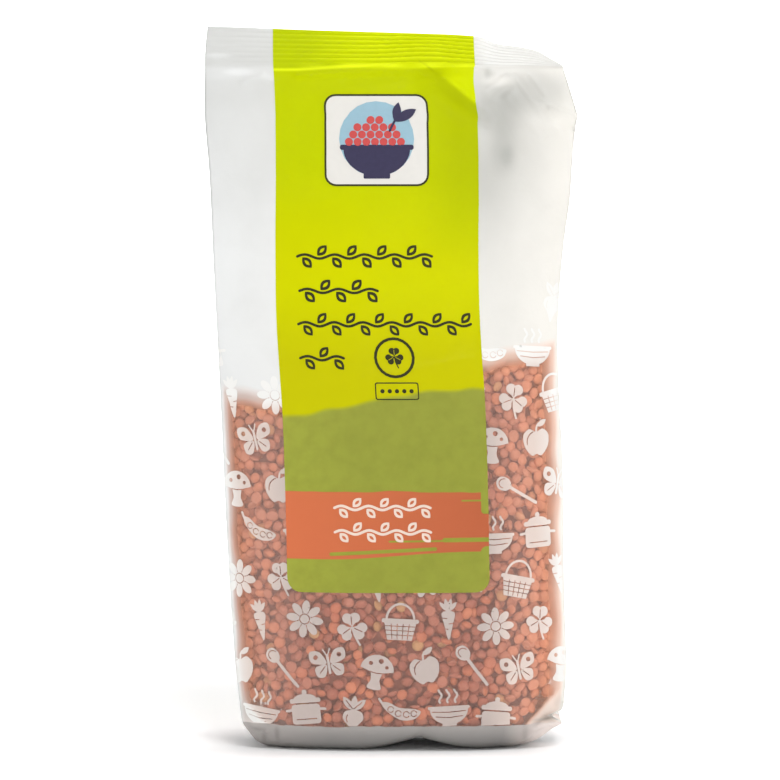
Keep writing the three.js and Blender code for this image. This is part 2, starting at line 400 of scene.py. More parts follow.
class Film:
    """The film as a grid of points, with the height and the place round the bag of each one."""

    def __init__(self):
        self.face, self.across = columns_round()
        face, across = self.face, self.across
        middle, _ = width_at(CORNER_HEIGHT["right"])
        rim = edge(face, across, math.pi / 2)
        rings, heights = [], []
        for i in range(1, BASE_RINGS):
            share = i / BASE_RINGS
            x, y = middle + (rim[:, 0] - middle) * share, rim[:, 1] * share
            z = arch(x, y) + (underside(x, y) - arch(x, y)) * smooth(1, 0.9, share)
            rings.append(np.stack([x, y, z], -1))
            heights.append(BASE_Z - np.hypot(rim[:, 0] - x, rim[:, 1] - y))
        for i in range(CORNER_STEPS):
            ring = edge(face, across, math.pi / 2 * (1 - i / CORNER_STEPS))
            rings.append(ring)
            heights.append(ring[:, 2])
        start = corner_height(face, across)
        lower = np.linspace(0, TOP_WALL_SHARE, WALL_STEPS, endpoint=False)
        upper = np.linspace(TOP_WALL_SHARE, 1, TOP_WALL_STEPS + 1)
        for share in np.concatenate([lower, upper]):
            ring = wall(face, across, start + (SEAL_Z - start) * share)
            rings.append(ring)
            heights.append(ring[:, 2])
        steps = SEAL_RIBS * RIB_STEPS
        for i in range(1, steps + 1):
            distance = SEAL_LENGTH * i / steps
            rings.append(seal(face, across, distance))
            heights.append(np.full(len(face), SEAL_Z + distance))
        self.points = np.array(rings)
        self.height = np.array(heights)
        self.rib = np.zeros(self.height.shape)
        for i in range(1, steps + 1):
            self.rib[i - steps - 1] = rib_light(self.points[i - steps - 1, :, 0], SEAL_LENGTH * i / steps)
        self.base_centre = np.array([middle, 0, float(underside(middle, 0.0))])
        self.first_mapped = BASE_RINGS - 1
        self.measure_round()
        self.normals = self.grid_normals(self.closed)

    def measure_round(self):
        """Places round the bag in millimetres, from the middle of the print and the middle of the back."""
        count = len(self.face)
        self.front_column = PANEL_STEPS // 2 + GUSSET_STEPS + PANEL_STEPS // 2
        turn = PANEL_STEPS // 2 + GUSSET_STEPS // 2
        self.turn_columns = (turn, count - turn)
        self.closed = np.concatenate([self.points, self.points[:, :1]], 1)
        steps_round = np.linalg.norm(np.diff(self.closed, axis=1), axis=2)
        from_back = np.concatenate([np.zeros((len(self.closed), 1)), np.cumsum(steps_round, 1)], 1)
        left = PANEL_STEPS // 2 + GUSSET_STEPS
        panel = slice(left, left + PANEL_STEPS + 1)
        self.place_front = np.empty_like(from_back)
        for row, arcs in enumerate(from_back):
            heights = self.height[row][panel.start : panel.stop - 1].mean()
            zero = np.interp(along(PRINT_MIDDLE, heights), self.closed[row, panel, 0], arcs[panel])
            self.place_front[row] = arcs - zero
        # Small folds lengthen the way round in their own rows only,
        # so the places are evened out over some rows
        weights = np.hanning(17)[1:-1]
        padded = np.pad(self.place_front, ((7, 7), (0, 0)), "edge")
        even = sum(w * padded[i : i + len(from_back)] for i, w in enumerate(weights)) / weights.sum()
        share = smooth(150, 165, self.height).mean(1)[:, None]
        self.place_front += share * (even - self.place_front)
        self.place_back = np.where(
            np.arange(count + 1) <= self.front_column, from_back, from_back - from_back[:, -1:]
        )

    @staticmethod
    def grid_normals(closed):
        """Outward normals of the grid, on the closed columns."""
        wrapped = np.concatenate([closed[:, -2:-1], closed, closed[:, 1:2]], 1)
        round_ = wrapped[:, 2:] - wrapped[:, :-2]
        up = np.gradient(closed, axis=0)
        normal = np.cross(round_, up)
        return normal / np.maximum(np.linalg.norm(normal, axis=2, keepdims=True), 1e-9)

    def locate(self, half, place, height):
        """Row, column and column order of the grid for places and heights on the front or the back half."""
        rows = slice(self.first_mapped, None)
        low, high = self.turn_columns
        count = self.points.shape[1]
        if half == "front":
            places, columns = self.place_front[rows, low : high + 1], np.arange(low, high + 1)
        else:
            columns = np.concatenate([np.arange(high, count), np.arange(0, low + 1)])
            places = np.concatenate(
                [self.place_back[rows, high:count], self.place_back[rows, 0 : low + 1]], 1
            )
        order = columns % count
        heights = self.height[rows][:, order]
        place, height = np.asarray(place, float), np.asarray(height, float)
        column = np.full(place.shape, places.shape[1] / 2)
        row = np.zeros(place.shape)
        for _ in range(3):
            nearest = np.clip(np.rint(column).astype(int), 0, places.shape[1] - 1)
            row = fractional_index(heights[:, nearest].T, height)
            nearest_row = np.clip(np.rint(row).astype(int), 0, places.shape[0] - 1)
            column = fractional_index(places[nearest_row], place)
        return row, column, order

    def sample(self, grid, spot):
        """Values of one of the film's grids at what locate gives."""
        row, column, order = spot
        return bilinear(grid[self.first_mapped :][:, order], row, column)

    def at(self, half, place, height):
        """Points and normals of the film at places and heights on the front or the back half."""
        return self.surface(self.locate(half, place, height))

    def surface(self, spot):
        """Points and unit normals at what locate gives."""
        normal = self.sample(self.normals, spot)
        length = np.linalg.norm(normal, axis=-1, keepdims=True)
        return self.sample(self.points, spot), normal / np.maximum(length, 1e-9)


def fractional_index(tables, values):
    """Where each value lies in its own rising table, as an index with a fraction."""
    i = np.clip((tables < values[:, None]).sum(1) - 1, 0, tables.shape[1] - 2)
    rows = np.arange(len(values))
    low, high = tables[rows, i], tables[rows, i + 1]
    return i + np.clip((values - low) / np.maximum(high - low, 1e-6), 0, 1)


def bilinear(grid, row, col):
    """Values of a grid between its rows and columns."""
    r = np.clip(row.astype(int), 0, grid.shape[0] - 2)
    c = np.clip(col.astype(int), 0, grid.shape[1] - 2)
    u, v = (row - r)[:, None], (col - c)[:, None]
    return (grid[r, c] * (1 - u) + grid[r + 1, c] * u) * (1 - v) + (
        grid[r, c + 1] * (1 - u) + grid[r + 1, c + 1] * u
    ) * v


film = Film()

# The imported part's box gives the step from the bag's own frame to the part's frame
shell_low = film.points.reshape(-1, 3).min(0)
shell_high = film.points.reshape(-1, 3).max(0)
box_low, box_high = (np.array(corner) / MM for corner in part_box("bag"))
TO_PART = (box_low + box_high) / 2 - (shell_low + shell_high) / 2
TO_PART[2] = box_low[2] - shell_low[2]


def new_mesh(name, points, faces):
    """A mesh object from points in millimetres in the bag's own frame."""
    mesh = bpy.data.meshes.new(name)
    points = (np.asarray(points, float) + TO_PART) * MM
    faces = np.asarray(faces, dtype=np.int32)
    mesh.vertices.add(len(points))
    mesh.vertices.foreach_set("co", points.astype(np.float32).ravel())
    mesh.loops.add(faces.size)
    mesh.loops.foreach_set("vertex_index", faces.ravel())
    mesh.polygons.add(len(faces))
    mesh.polygons.foreach_set("loop_start", np.arange(0, faces.size, faces.shape[1], dtype=np.int32))
    mesh.update(calc_edges=True)
    mesh.shade_smooth()
    thing = bpy.data.objects.new(name, mesh)
    bpy.context.scene.collection.objects.link(thing)
    return thing


# Shader helpers


class Shader:
    """A material's node tree with short calls for the nodes used here."""

    def __init__(self, name):
        self.material = bpy.data.materials.new(name)
        self.material.use_nodes = True
        self.nodes = self.material.node_tree.nodes
        self.links = self.material.node_tree.links
        self.nodes.clear()

    def put(self, socket, value):
        if isinstance(value, bpy.types.NodeSocket):
            self.links.new(value, socket)
        else:
            socket.default_value = value

    def math(self, operation, a, b=0.0):
        node = self.nodes.new("ShaderNodeMath")
        node.operation = operation
        for socket, value in zip(node.inputs, (a, b)):
            self.put(socket, value)
        return node.outputs[0]

    def times(self, a, b):
        return self.math("MULTIPLY", a, b)

    def plus(self, a, b):
        return self.math("ADD", a, b)

    def minus(self, a, b):
        return self.math("SUBTRACT", a, b)

    def most(self, a, b):
        return self.math("MAXIMUM", a, b)

    def least(self, a, b):
        return self.math("MINIMUM", a, b)

    def absolute(self, a):
        return self.math("ABSOLUTE", a)

    def inverse(self, a):
        return self.math("SUBTRACT", 1.0, a)

    def ramp(self, value, low, high, to_low=0.0, to_high=1.0, smooth_step=False):
        node = self.nodes.new("ShaderNodeMapRange")
        node.interpolation_type = "SMOOTHSTEP" if smooth_step else "LINEAR"
        for socket, given in zip(node.inputs[:5], (value, low, high, to_low, to_high)):
            self.put(socket, given)
        return node.outputs[0]

    def mix(self, share, a, b):
        node = self.nodes.new("ShaderNodeMix")
        node.data_type = "RGBA"
        self.put(node.inputs["Factor"], share)
        self.put(node.inputs[6], a)
        self.put(node.inputs[7], b)
        return node.outputs[2]

    def attribute(self, name):
        node = self.nodes.new("ShaderNodeAttribute")
        node.attribute_name = name
        return node

    def noise(self, scale, detail=2.0, vector=None):
        node = self.nodes.new("ShaderNodeTexNoise")
        node.inputs["Scale"].default_value = scale
        node.inputs["Detail"].default_value = detail
        if vector is None:
            vector = self.nodes.new("ShaderNodeTexCoord").outputs["Object"]
        self.links.new(vector, node.inputs["Vector"])
        return node.outputs[0]

    def vector(self, x, y, z=0.0):
        node = self.nodes.new("ShaderNodeCombineXYZ")
        for socket, value in zip(node.inputs, (x, y, z)):
            self.put(socket, value)
        return node.outputs[0]

    def bump(self, height, strength, distance):
        node = self.nodes.new("ShaderNodeBump")
        node.inputs["Strength"].default_value = strength
        node.inputs["Distance"].default_value = distance
        self.links.new(height, node.inputs["Height"])
        return node.outputs[0]

    def principled(self, **values):
        node = self.nodes.new("ShaderNodeBsdfPrincipled")
        for name, value in values.items():
            self.put(node.inputs[name.replace("_", " ")], value)
        return node.outputs[0]

    def finish(self, surface):
        output = self.nodes.new("ShaderNodeOutputMaterial")
        self.links.new(surface, output.inputs["Surface"])
        return self.material

    def see_through(self, opacity, solid):
        """A surface that shows what is behind it by 1 - opacity."""
        clear = self.nodes.new("ShaderNodeBsdfTransparent")
        mix = self.nodes.new("ShaderNodeMixShader")
        self.put(mix.inputs[0], opacity)
        self.links.new(clear.outputs[0], mix.inputs[1])
        self.links.new(solid, mix.inputs[2])
        return mix.outputs[0]

    def film_place(self):
        """Place round the bag and height, from the mesh's UV map."""
        uv = self.nodes.new("ShaderNodeUVMap")
        uv.uv_map = "film"
        parts = self.nodes.new("ShaderNodeSeparateXYZ")
        self.links.new(uv.outputs[0], parts.inputs[0])
        return parts.outputs[0], parts.outputs[1]

    def rounded_box(self, place, height, centre, half, radius, blur):
        """1 inside a box with round corners, 0 outside, with an edge that is blur wide."""
        out_x = self.minus(self.absolute(self.minus(place, centre[0])), half[0] - radius)
        out_y = self.minus(self.absolute(self.minus(height, centre[1])), half[1] - radius)
        far_x, far_y = self.most(out_x, 0.0), self.most(out_y, 0.0)
        squares = self.plus(self.times(far_x, far_x), self.times(far_y, far_y))
        inside = self.least(self.most(out_x, out_y), 0.0)
        distance = self.minus(self.plus(self.math("SQRT", squares), inside), radius)
        return self.ramp(distance, -blur / 2, blur / 2, 1.0, 0.0)

    def above(self, value, edge, blur):
        """0 below the edge, 1 above it."""
        return self.ramp(self.minus(value, edge), -blur / 2, blur / 2)


# Print: places round the bag from the middle of the print, and heights, in millimetres

LABEL_CENTRE = -4.0
LABEL_HALF = 35.2
LABEL_BOTTOM = 55.6
LABEL_RADIUS = 5.0
LABEL_TOP = SEAL_Z + SEAL_LENGTH

# The label piece takes the film's place except for this strip along its edges
PRINT_LAP = 0.3

BAND_BOTTOM = 67.6
BAND_TOP = 90.6
WHITE_BAND_TOP = 8.4

# Bare gaps of the brushed band: centre, half sizes, corner radius and slope
BAND_GAPS = [
    ((LABEL_CENTRE + LABEL_HALF, 89), (2.6, 6.2), 1.2, 0.0),
    ((14.5, 73.6), (18.0, 0.32), 0.3, 0.012),
    ((24, 73.9), (9.0, 0.75), 0.7, 0.0),
    ((26, 87.4), (4.2, 0.28), 0.25, 0.0),
    ((-5.5, 69.9), (18.5, 0.62), 0.6, 0.052),
    ((LABEL_CENTRE + LABEL_HALF, 69.2), (3.0, 2.4), 2.2, 0.0),
]

# How far each layer of ink lies off the film, from the first to the last that is laid on
INK_GAP = 0.1
OUTLINE_GAP = 0.12
OVERPRINT_GAP = 0.14
PLATE_GAP = 0.16
ON_PLATE_GAP = 0.2
BOWL_GAP = 0.24
SPRIG_GAP = 0.3

LIME_TOP = (0.495, 0.57, 0.0, 1)
# Lime painted lighter as light on the seal and the fold's upper facet, darker as shade on the seal's left
# part and below the fold, and a painted glint
LIME_PAINTED_LIGHT = (0.62, 0.71, 0.0, 1)
LIME_SEAL_PAINTED_SHADE_LEFT = (0.45, 0.54, 0.0, 1)
LIME_PAINTED_GLINT = (0.82, 0.92, 0.014, 1)
LIME_PAINTED_SHADE = (0.43, 0.49, 0.0, 1)
LIME = (0.585, 0.605, 0.0, 1)
LIME_LOW = (0.525, 0.51, 0.002, 1)
OLIVE = (0.32, 0.35, 0.054, 1)
OLIVE_LEFT = (0.365, 0.4, 0.058, 1)
ORANGE = (0.64, 0.17, 0.073, 1)
ORANGE_RIGHT = (0.48, 0.125, 0.056, 1)
# White ink of the foot band painted grey as shade, darker still towards the bottom, and lighter at the right
# end as painted light
FOOT_INK_PAINTED_SHADE = (0.35, 0.335, 0.32, 1)
FOOT_INK_PAINTED_DEEP_SHADE = (0.2, 0.192, 0.185, 1)
FOOT_INK_PAINTED_LIGHT = (0.78, 0.69, 0.65, 1)
ICON_INK = (0.555, 0.475, 0.44, 1)
# Painted light on the white icons where light comes through the film at the sides
ICON_PAINTED_LIGHT = (0.73, 0.615, 0.555, 1)
# Painted light on the lentils where light comes through the film at the sides and the top
LENTIL_PAINTED_GLOW = (0.88, 0.37, 0.2, 1)
ICON_WHITE = (0.88, 0.875, 0.85, 1)
# Milky film at the left end, painted darker and greyer as shade, and at the right end
MILKY_SHADED_LEFT = (0.79, 0.8, 0.795, 1)
MILKY_WARM = (0.84, 0.815, 0.76, 1)
WARM_HAZE = (0.8, 0.5, 0.42, 1)
PEACH = (0.9, 0.45, 0.3, 1)
PALE_PEACH = (0.89, 0.62, 0.5, 1)
# Pale peach at the left end, painted darker and greyer as shade
PALE_PEACH_SHADED_LEFT = (0.71, 0.575, 0.52, 1)
# Grey of the painted shade, and of the film's faint random clouding
GREY_SHADE = (0.44, 0.44, 0.41, 1)
# Painted highlight on the seal's right part
SEAL_PAINTED_HIGHLIGHT = (0.98, 0.98, 0.96, 1)
# Painted shade of the slack film where it lies over the foot band
FOOT_PAINTED_SHADE = (0.15, 0.14, 0.13, 1)
CORE_RED = (0.36, 0.12, 0.075, 1)
DARK_INK = (0.035, 0.035, 0.012, 1)
WHITE_INK = (0.76, 0.62, 0.53, 1)
PLATE_WHITE = (0.72, 0.7, 0.66, 1)
ROUND_BLUE = (0.3, 0.47, 0.56, 1)
BOWL_NAVY = (0.045, 0.04, 0.085, 1)
HEAP_RED = (0.56, 0.08, 0.075, 1)

# How the film's colour and opacity go on from where it touches the lentils to where it stands off them
HAZE_TO_PEACH = (0.03, 0.25)
PEACH_TO_PALE = (0.25, 0.55)
PALE_TO_MILKY = (0.6, 0.9)
OPACITY_NEAR = (0.03, 0.5, 0.0, 0.72)
OPACITY_FAR = (0.5, 0.8, 0.0, 0.23)

# The slanted fold at the label's top right, where height plus the slope's share of place is at this level
FOLD_SLOPE = 0.845
FOLD_LEVEL = 249.8

# Opacity of the film where it touches the lentils, under the label and at the sides
CLEAR_MIDDLE = 0.19
CLEAR_SIDES = 0.27


def shaded(colour, share):
    """The colour made darker or lighter by a share."""
    return tuple(min(1, c * share) for c in colour[:3]) + (1,)


def film_material():
    """Frosted film, clearer and warmer where it touches the lentils, with painted shade, glints and
    highlight, and a white band round the foot painted grey as shade.
    """
    s = Shader("film")
    place, height = s.film_place()
    off = s.attribute("stand_off").outputs["Fac"]
    painted_shade = s.attribute("painted_shade").outputs["Fac"]
    # The film is painted darker and greyer towards the left as shade
    milky = s.mix(s.ramp(place, -60.0, 60.0), MILKY_SHADED_LEFT, MILKY_WARM)
    haze = s.mix(s.ramp(off, *HAZE_TO_PEACH), WARM_HAZE, PEACH)
    pale = s.mix(s.ramp(place, -50.0, 50.0), PALE_PEACH_SHADED_LEFT, PALE_PEACH)
    haze = s.mix(s.ramp(off, *PEACH_TO_PALE), haze, pale)
    haze = s.mix(s.ramp(off, *PALE_TO_MILKY), haze, milky)
    cloud = s.noise(55.0, 3.0)
    colour = s.mix(s.times(s.ramp(cloud, 0.45, 0.75), 0.12), haze, GREY_SHADE)
    # Painted grey shade and painted glints of the slack film
    colour = s.mix(painted_shade, colour, GREY_SHADE)
    # Painted highlight on the seal's right part, towards white
    painted_lit_seal = s.times(s.ramp(height, 236.2, 237.4), s.ramp(place, 30.0, 36.0))
    painted_lit_seal = s.times(painted_lit_seal, s.ramp(place, 80.0, 90.0, 0.45, 0.0))
    colour = s.mix(painted_lit_seal, colour, SEAL_PAINTED_HIGHLIGHT)
    ragged = s.times(s.minus(s.noise(160.0, 2.0), 0.5), 1.6)
    band = s.inverse(s.above(s.plus(height, ragged), WHITE_BAND_TOP, 0.4))
    # The foot band's white ink is painted grey as shade, darker towards the bottom, and painted lighter
    # towards its ends
    foot = s.mix(s.ramp(height, 0.5, 7.5), FOOT_INK_PAINTED_DEEP_SHADE, FOOT_INK_PAINTED_SHADE)
    right_end = s.times(s.ramp(place, 36.0, 52.0), s.ramp(place, 62.0, 72.0, 1.0, 0.0))
    end = s.most(right_end, s.ramp(place, -50.0, -25.0, 0.2, 0.0))
    colour = s.mix(band, colour, s.mix(end, foot, FOOT_INK_PAINTED_LIGHT))
    # The film's painted shade, carried darker onto the foot band
    colour = s.mix(s.times(painted_shade, band), colour, FOOT_PAINTED_SHADE)
    clear = s.ramp(s.absolute(place), 25.0, 44.0, CLEAR_MIDDLE, CLEAR_SIDES, True)
    opacity = s.most(clear, s.ramp(off, *OPACITY_NEAR))
    opacity = s.plus(opacity, s.ramp(off, *OPACITY_FAR))
    seam = s.rounded_box(place, height, (BACK_OFFSET - SEAM_X, 120.0), (SEAM_HALF, 150.0), 0.2, 0.3)
    opacity = s.most(opacity, s.times(seam, 0.42))
    opacity = s.most(opacity, s.times(band, 0.97))
    middle = (LABEL_BOTTOM + LABEL_TOP) / 2
    half = (LABEL_HALF - PRINT_LAP, (LABEL_TOP - LABEL_BOTTOM) / 2 - PRINT_LAP)
    printed = s.rounded_box(place, height, (LABEL_CENTRE, middle), half, LABEL_RADIUS, 0.1)
    opacity = s.times(opacity, s.inverse(printed))
    normal = s.bump(s.noise(700.0, 3.0), 0.22, 0.0003)
    solid = s.principled(Base_Color=colour, Roughness=0.42, Specular_IOR_Level=0.35, Normal=normal)
    return s.finish(s.see_through(opacity, solid))


def label_material():
    """Lime print, olive where the lentils lie behind it, with a brushed orange band, and painted light,
    shade and glints along the fold and the seal.
    """
    s = Shader("label")
    place, height = s.film_place()
    off = s.attribute("stand_off").outputs["Fac"]
    brush = s.noise(1.0, 2.0, s.vector(s.times(place, 0.045), s.times(height, 0.02)))
    top = s.plus(BAND_TOP - 1.6, s.times(brush, 3.2))
    rise = s.ramp(place, -24.0, 24.0, 0.0, 2.6, True)
    bottom = s.plus(BAND_BOTTOM - 0.4, rise)
    band = s.times(s.above(height, bottom, 0.3), s.inverse(s.above(height, top, 0.3)))
    for centre, half, radius, slope in BAND_GAPS:
        level = s.minus(height, s.times(s.minus(place, centre[0]), slope))
        gap = s.rounded_box(place, level, centre, half, radius, 0.3)
        band = s.times(band, s.inverse(gap))
    mottle = s.noise(230.0, 2.0)
    olive = s.mix(s.ramp(place, -38.0, -14.0), OLIVE_LEFT, OLIVE)
    olive = s.mix(s.ramp(mottle, 0.35, 0.7, 0.0, 0.35), olive, shaded(OLIVE, 0.75))
    touch = s.ramp(off, 0.12, 0.29, 1.0, 0.0, True)
    lime = s.mix(s.ramp(height, 135.0, 160.0), LIME_LOW, LIME)
    lime = s.mix(s.ramp(height, 170.0, 205.0), lime, LIME_TOP)
    # Painted shade below the slanted fold, and painted light above it and on the seal, darker at the seal's
    # left part
    over_fold = s.minus(s.plus(height, s.times(place, FOLD_SLOPE)), FOLD_LEVEL)
    shade = s.times(s.ramp(over_fold, -1.5, 0.5, 1.0, 0.0), s.ramp(place, 8.0, 24.0))
    shade = s.times(shade, s.ramp(height, 165.0, 200.0))
    lime = s.mix(shade, lime, LIME_PAINTED_SHADE)
    painted_lit = s.times(s.ramp(over_fold, -0.5, 1.0), s.ramp(place, 17.0, 24.0))
    painted_lit = s.most(painted_lit, s.ramp(height, 235.2, 236.2))
    lime = s.mix(painted_lit, lime, s.mix(s.ramp(place, -26.0, -4.0), LIME_SEAL_PAINTED_SHADE_LEFT, LIME_PAINTED_LIGHT))
    # Painted glint along the fold under the seal's left part
    off_fold = s.minus(height, s.ramp(place, -31.0, 0.0, 235.4, 237.2))
    painted_glint = s.times(s.ramp(s.absolute(off_fold), 0.1, 0.8, 0.75, 0.0), s.ramp(place, -5.0, 1.0, 1.0, 0.0))
    lime = s.mix(painted_glint, lime, LIME_PAINTED_GLINT)
    # A short line of painted shade under the seal
    level = s.plus(height, s.times(place, 0.77))
    painted_shade_tick = s.rounded_box(place, level, (14.2, 247.7), (2.6, 0.5), 0.4, 0.6)
    lime = s.mix(s.times(painted_shade_tick, 0.8), lime, LIME_PAINTED_SHADE)
    # Painted highlight and shade on the seal's ribs, by which way each faces the light
    rib = s.attribute("rib").outputs["Fac"]
    lime = s.mix(s.ramp(rib, 0.0, 1.0, 0.0, 0.8), lime, LIME_PAINTED_GLINT)
    lime = s.mix(s.ramp(rib, 0.0, -1.0, 0.0, 0.8), lime, LIME_PAINTED_SHADE)
    colour = s.mix(touch, lime, olive)
    orange = s.mix(s.ramp(place, -38.0, 30.0), ORANGE, ORANGE_RIGHT)
    colour = s.mix(band, colour, orange)
    opacity = s.most(s.ramp(off, 0.15, 0.3, 0.88, 0.985), s.times(band, 0.95))
    normal = s.bump(s.noise(700.0, 3.0), 0.15, 0.0003)
    solid = s.principled(Base_Color=colour, Roughness=0.45, Specular_IOR_Level=0.03, Normal=normal)
    return s.finish(s.see_through(opacity, solid))


def lentil_material(name, dark, light):
    s = Shader(name)
    tone = s.attribute("tone").outputs["Fac"]
    glow = s.attribute("glow").outputs["Fac"]
    fleck = s.noise(420.0, 3.0)
    share = s.plus(s.times(tone, 0.8), s.times(fleck, 0.3))
    # Painted light: lentils lighter and more orange where light comes through the film at the sides and top
    colour = s.mix(glow, s.mix(share, dark, light), LENTIL_PAINTED_GLOW)
    normal = s.bump(s.noise(1500.0, 2.0), 0.2, 0.0002)
    return s.finish(s.principled(Base_Color=colour, Roughness=0.55, Specular_IOR_Level=0.3, Normal=normal))


def icon_material():
    """White ink, shaded by the lentils behind it, with painted light where light comes through the film at
    the sides, and bright where the film stands off them.
    """
    s = Shader("icon_ink")
    off = s.attribute("stand_off").outputs["Fac"]
    shade = s.mix(s.noise(500.0, 3.0), ICON_INK, shaded(ICON_INK, 0.93))
    # Painted light where light comes through the film at the sides
    shade = s.mix(s.ramp(s.attribute("glow").outputs["Fac"], 0.0, 0.4), shade, ICON_PAINTED_LIGHT)
    colour = s.mix(s.ramp(off, 0.1, 0.6), shade, ICON_WHITE)
    solid = s.principled(Base_Color=colour, Roughness=0.5, Specular_IOR_Level=0.12)
    return s.finish(s.see_through(0.93, solid))


def plain_material(name, colour, roughness=0.5, mottle=0.06, scale=600.0, opacity=1.0):
    s = Shader(name)
    shade = s.mix(s.noise(scale, 3.0), shaded(colour, 1 - mottle), shaded(colour, 1 + mottle))
    solid = s.principled(Base_Color=shade, Roughness=roughness, Specular_IOR_Level=0.12)
    return s.finish(s.see_through(opacity, solid) if opacity < 1 else solid)


# Film shell

# Painted grey shade of the slack film on the front: place, height, half sizes and strength, which add up;
# a negative one is a painted glint
PAINTED_SHADES = [
    ((28, 211), (22, 27), 0.5),
    ((33, 222), (10, 9), 0.42),
    ((35, 208), (5, 9), 0.3),
    ((36, 205.5), (2.4, 4), 0.15),
    ((26, 186), (12, 26), 0.2),
    ((47, 228), (13, 8), 0.5),
    ((28, 237), (5, 3), 0.12),
    ((30, 165), (16, 45), 0.13),
    ((44, 192), (14, 34), 0.07),
    ((50, 12.5), (3, 3), 0.15),
    ((-55, 12), (5, 4), 0.3),
    ((-50.5, 6.3), (3.5, 0.9), 0.35),
    ((-48.5, 3.5), (1, 2.5), 0.35),
    ((-44, 5), (1, 3), 0.3),
    ((49.5, 9.4), (5, 0.9), 0.6),
    ((42.3, 4.5), (1.1, 5), 0.35),
    ((54, 14.5), (1.6, 3), 0.25),
    ((29.4, 234), (1.4, 2.2), 0.35),
    ((33, 231.4), (5.5, 2), -0.4),
    ((-57, 234.6), (6, 1.4), -0.3),
    ((-65, 240.3), (5, 1), -0.25),
]

# A flatter facet at the right shoulder, painted in grey shade: its corners in order, and its strength
FACET = [(37, 235), (55.5, 236.5), (60.5, 220), (51, 222.4), (43, 225.5)]
FACET_SHADE = 0.38

# Painted grey shade of the slack film on the back, and painted shade along the edges of its lap seam
BACK_PAINTED_SHADES = [
    ((-34, 212), (18, 14), 0.3),
    ((14, 222), (22, 9), 0.25),
    ((46, 190), (12, 30), 0.22),
    ((-12, 170), (8, 40), 0.12),
]
SEAM_PAINTED_SHADE = 0.3

# Painted shade of the top's left part, of the seal's left part and below it, and of the ribs' lower sides
LEFT_PAINTED_SHADE = 0.26
LEFT_SEAL_PAINTED_SHADE = 0.2
RIB_PAINTED_SHADE = 0.16


def beyond_corner(corner, x, z):
    """Distance past the slanted line that cuts off an empty corner, on its lower outer side."""
    (x0, z0), (x1, z1) = corner
    run = math.hypot(x1 - x0, z1 - z0)
    return ((x - x0) * (z1 - z0) - (z - z0) * (x1 - x0)) / run


def film_stand_off(x, z, from_crease):
    """How far the film stands off the lentils, from 0 where it touches them to 1."""
    reach = np.where(x > 0, EAR_REACH["right"], EAR_REACH["left"])
    ear = along(EAR_FADE, (from_crease + 0.5 * wavy(EDGE_WAVES, x, z)) / reach)
    fill = along(FILL_LINE, x) + 0.5 * wavy(CRINKLE_WAVES, x, 0)
    over = smooth(-CONTACT_FALL, CONTACT_RISE, z - fill)
    off = np.maximum(ear, over)
    for corner in EMPTY_CORNERS:
        past = beyond_corner(corner, x, z) + 0.5 * wavy(CRINKLE_WAVES, x, z)
        off = np.maximum(off, 0.73 * smooth(-1.5, 1.2, past))
    return off


def shell_stand_off():
    z, x = film.closed[..., 2], film.closed[..., 0]
    left = PANEL_STEPS // 2 + GUSSET_STEPS
    right = left + PANEL_STEPS
    creases = (left, right, right + GUSSET_STEPS, PANEL_STEPS // 2)
    place = film.place_front
    from_crease = np.min([np.abs(place - place[:, [column]]) for column in creases], 0)
    return film_stand_off(x, z, from_crease)


film_off = shell_stand_off()[:, :-1]


def painted_glow_at(points):
    """How much painted light the lentils and icons get from the side or through the top of the film, from 0
    to 1.
    """
    x, z = points[:, 0], points[:, 2]
    top = 0.75 * smooth(-14, -2, z - along(FILL_LINE, x))
    return np.max([0.62 * smooth(26, 46, x), 0.35 * smooth(-34, -54, x), top], 0)


def point_values(thing, name, values):
    layer = thing.data.attributes.new(name, "FLOAT", "POINT")
    layer.data.foreach_set("value", np.asarray(values, np.float32).ravel())


def set_uv(thing, places, heights):
    """Writes the places and heights of the corners as the UV map that the print's materials read."""
    layer = thing.data.uv_layers.new(name="film")
    layer.data.foreach_set("uv", np.stack([places, heights], -1).astype(np.float32).ravel())


def shell_painted_shade():
    """Painted grey shade of the slack film at each point, or a painted glint where that is negative."""
    x, z, height = film.points[..., 0], film.points[..., 2], film.height
    painted_shade = np.zeros(height.shape)
    for patches, face in ((PAINTED_SHADES, FRONT), (BACK_PAINTED_SHADES, BACK)):
        for centre, half, strength in patches:
            far = np.hypot((x - centre[0]) / half[0], (z - centre[1]) / half[1])
            painted_shade += strength * smooth(1.4, 0.2, far) * (film.face == face)
    seam_edge = np.exp(-(((np.abs(x - SEAM_X) - SEAM_HALF) / 0.6) ** 2))
    painted_shade += SEAM_PAINTED_SHADE * seam_edge * (film.face == BACK)
    outside = [beyond_corner(side, x, z) for side in zip(FACET, FACET[1:] + FACET[:1])]
    painted_shade += FACET_SHADE * smooth(0.5, -0.5, np.max(outside, 0)) * (film.face == FRONT)
    left = smooth(-20, -45, x)
    on_seal = smooth(235.5, 237.5, height)
    below_seal = smooth(233, 231, height) * smooth(218, 226, height)
    painted_shade += LEFT_PAINTED_SHADE * smooth(165, 215, height) * left
    painted_shade += LEFT_SEAL_PAINTED_SHADE * left * (on_seal + 0.5 * below_seal)
    painted_shade += RIB_PAINTED_SHADE * np.maximum(0, -film.rib)
    return np.minimum(painted_shade, 1)


def strip_corners(row, count):
    """Corners of the faces between a closed row and the next: two in this row, then two in the next."""
    column = np.arange(count)
    following = (column + 1) % count
    start, above = row * count, (row + 1) * count
    return start + column, start + following, above + following, above + column


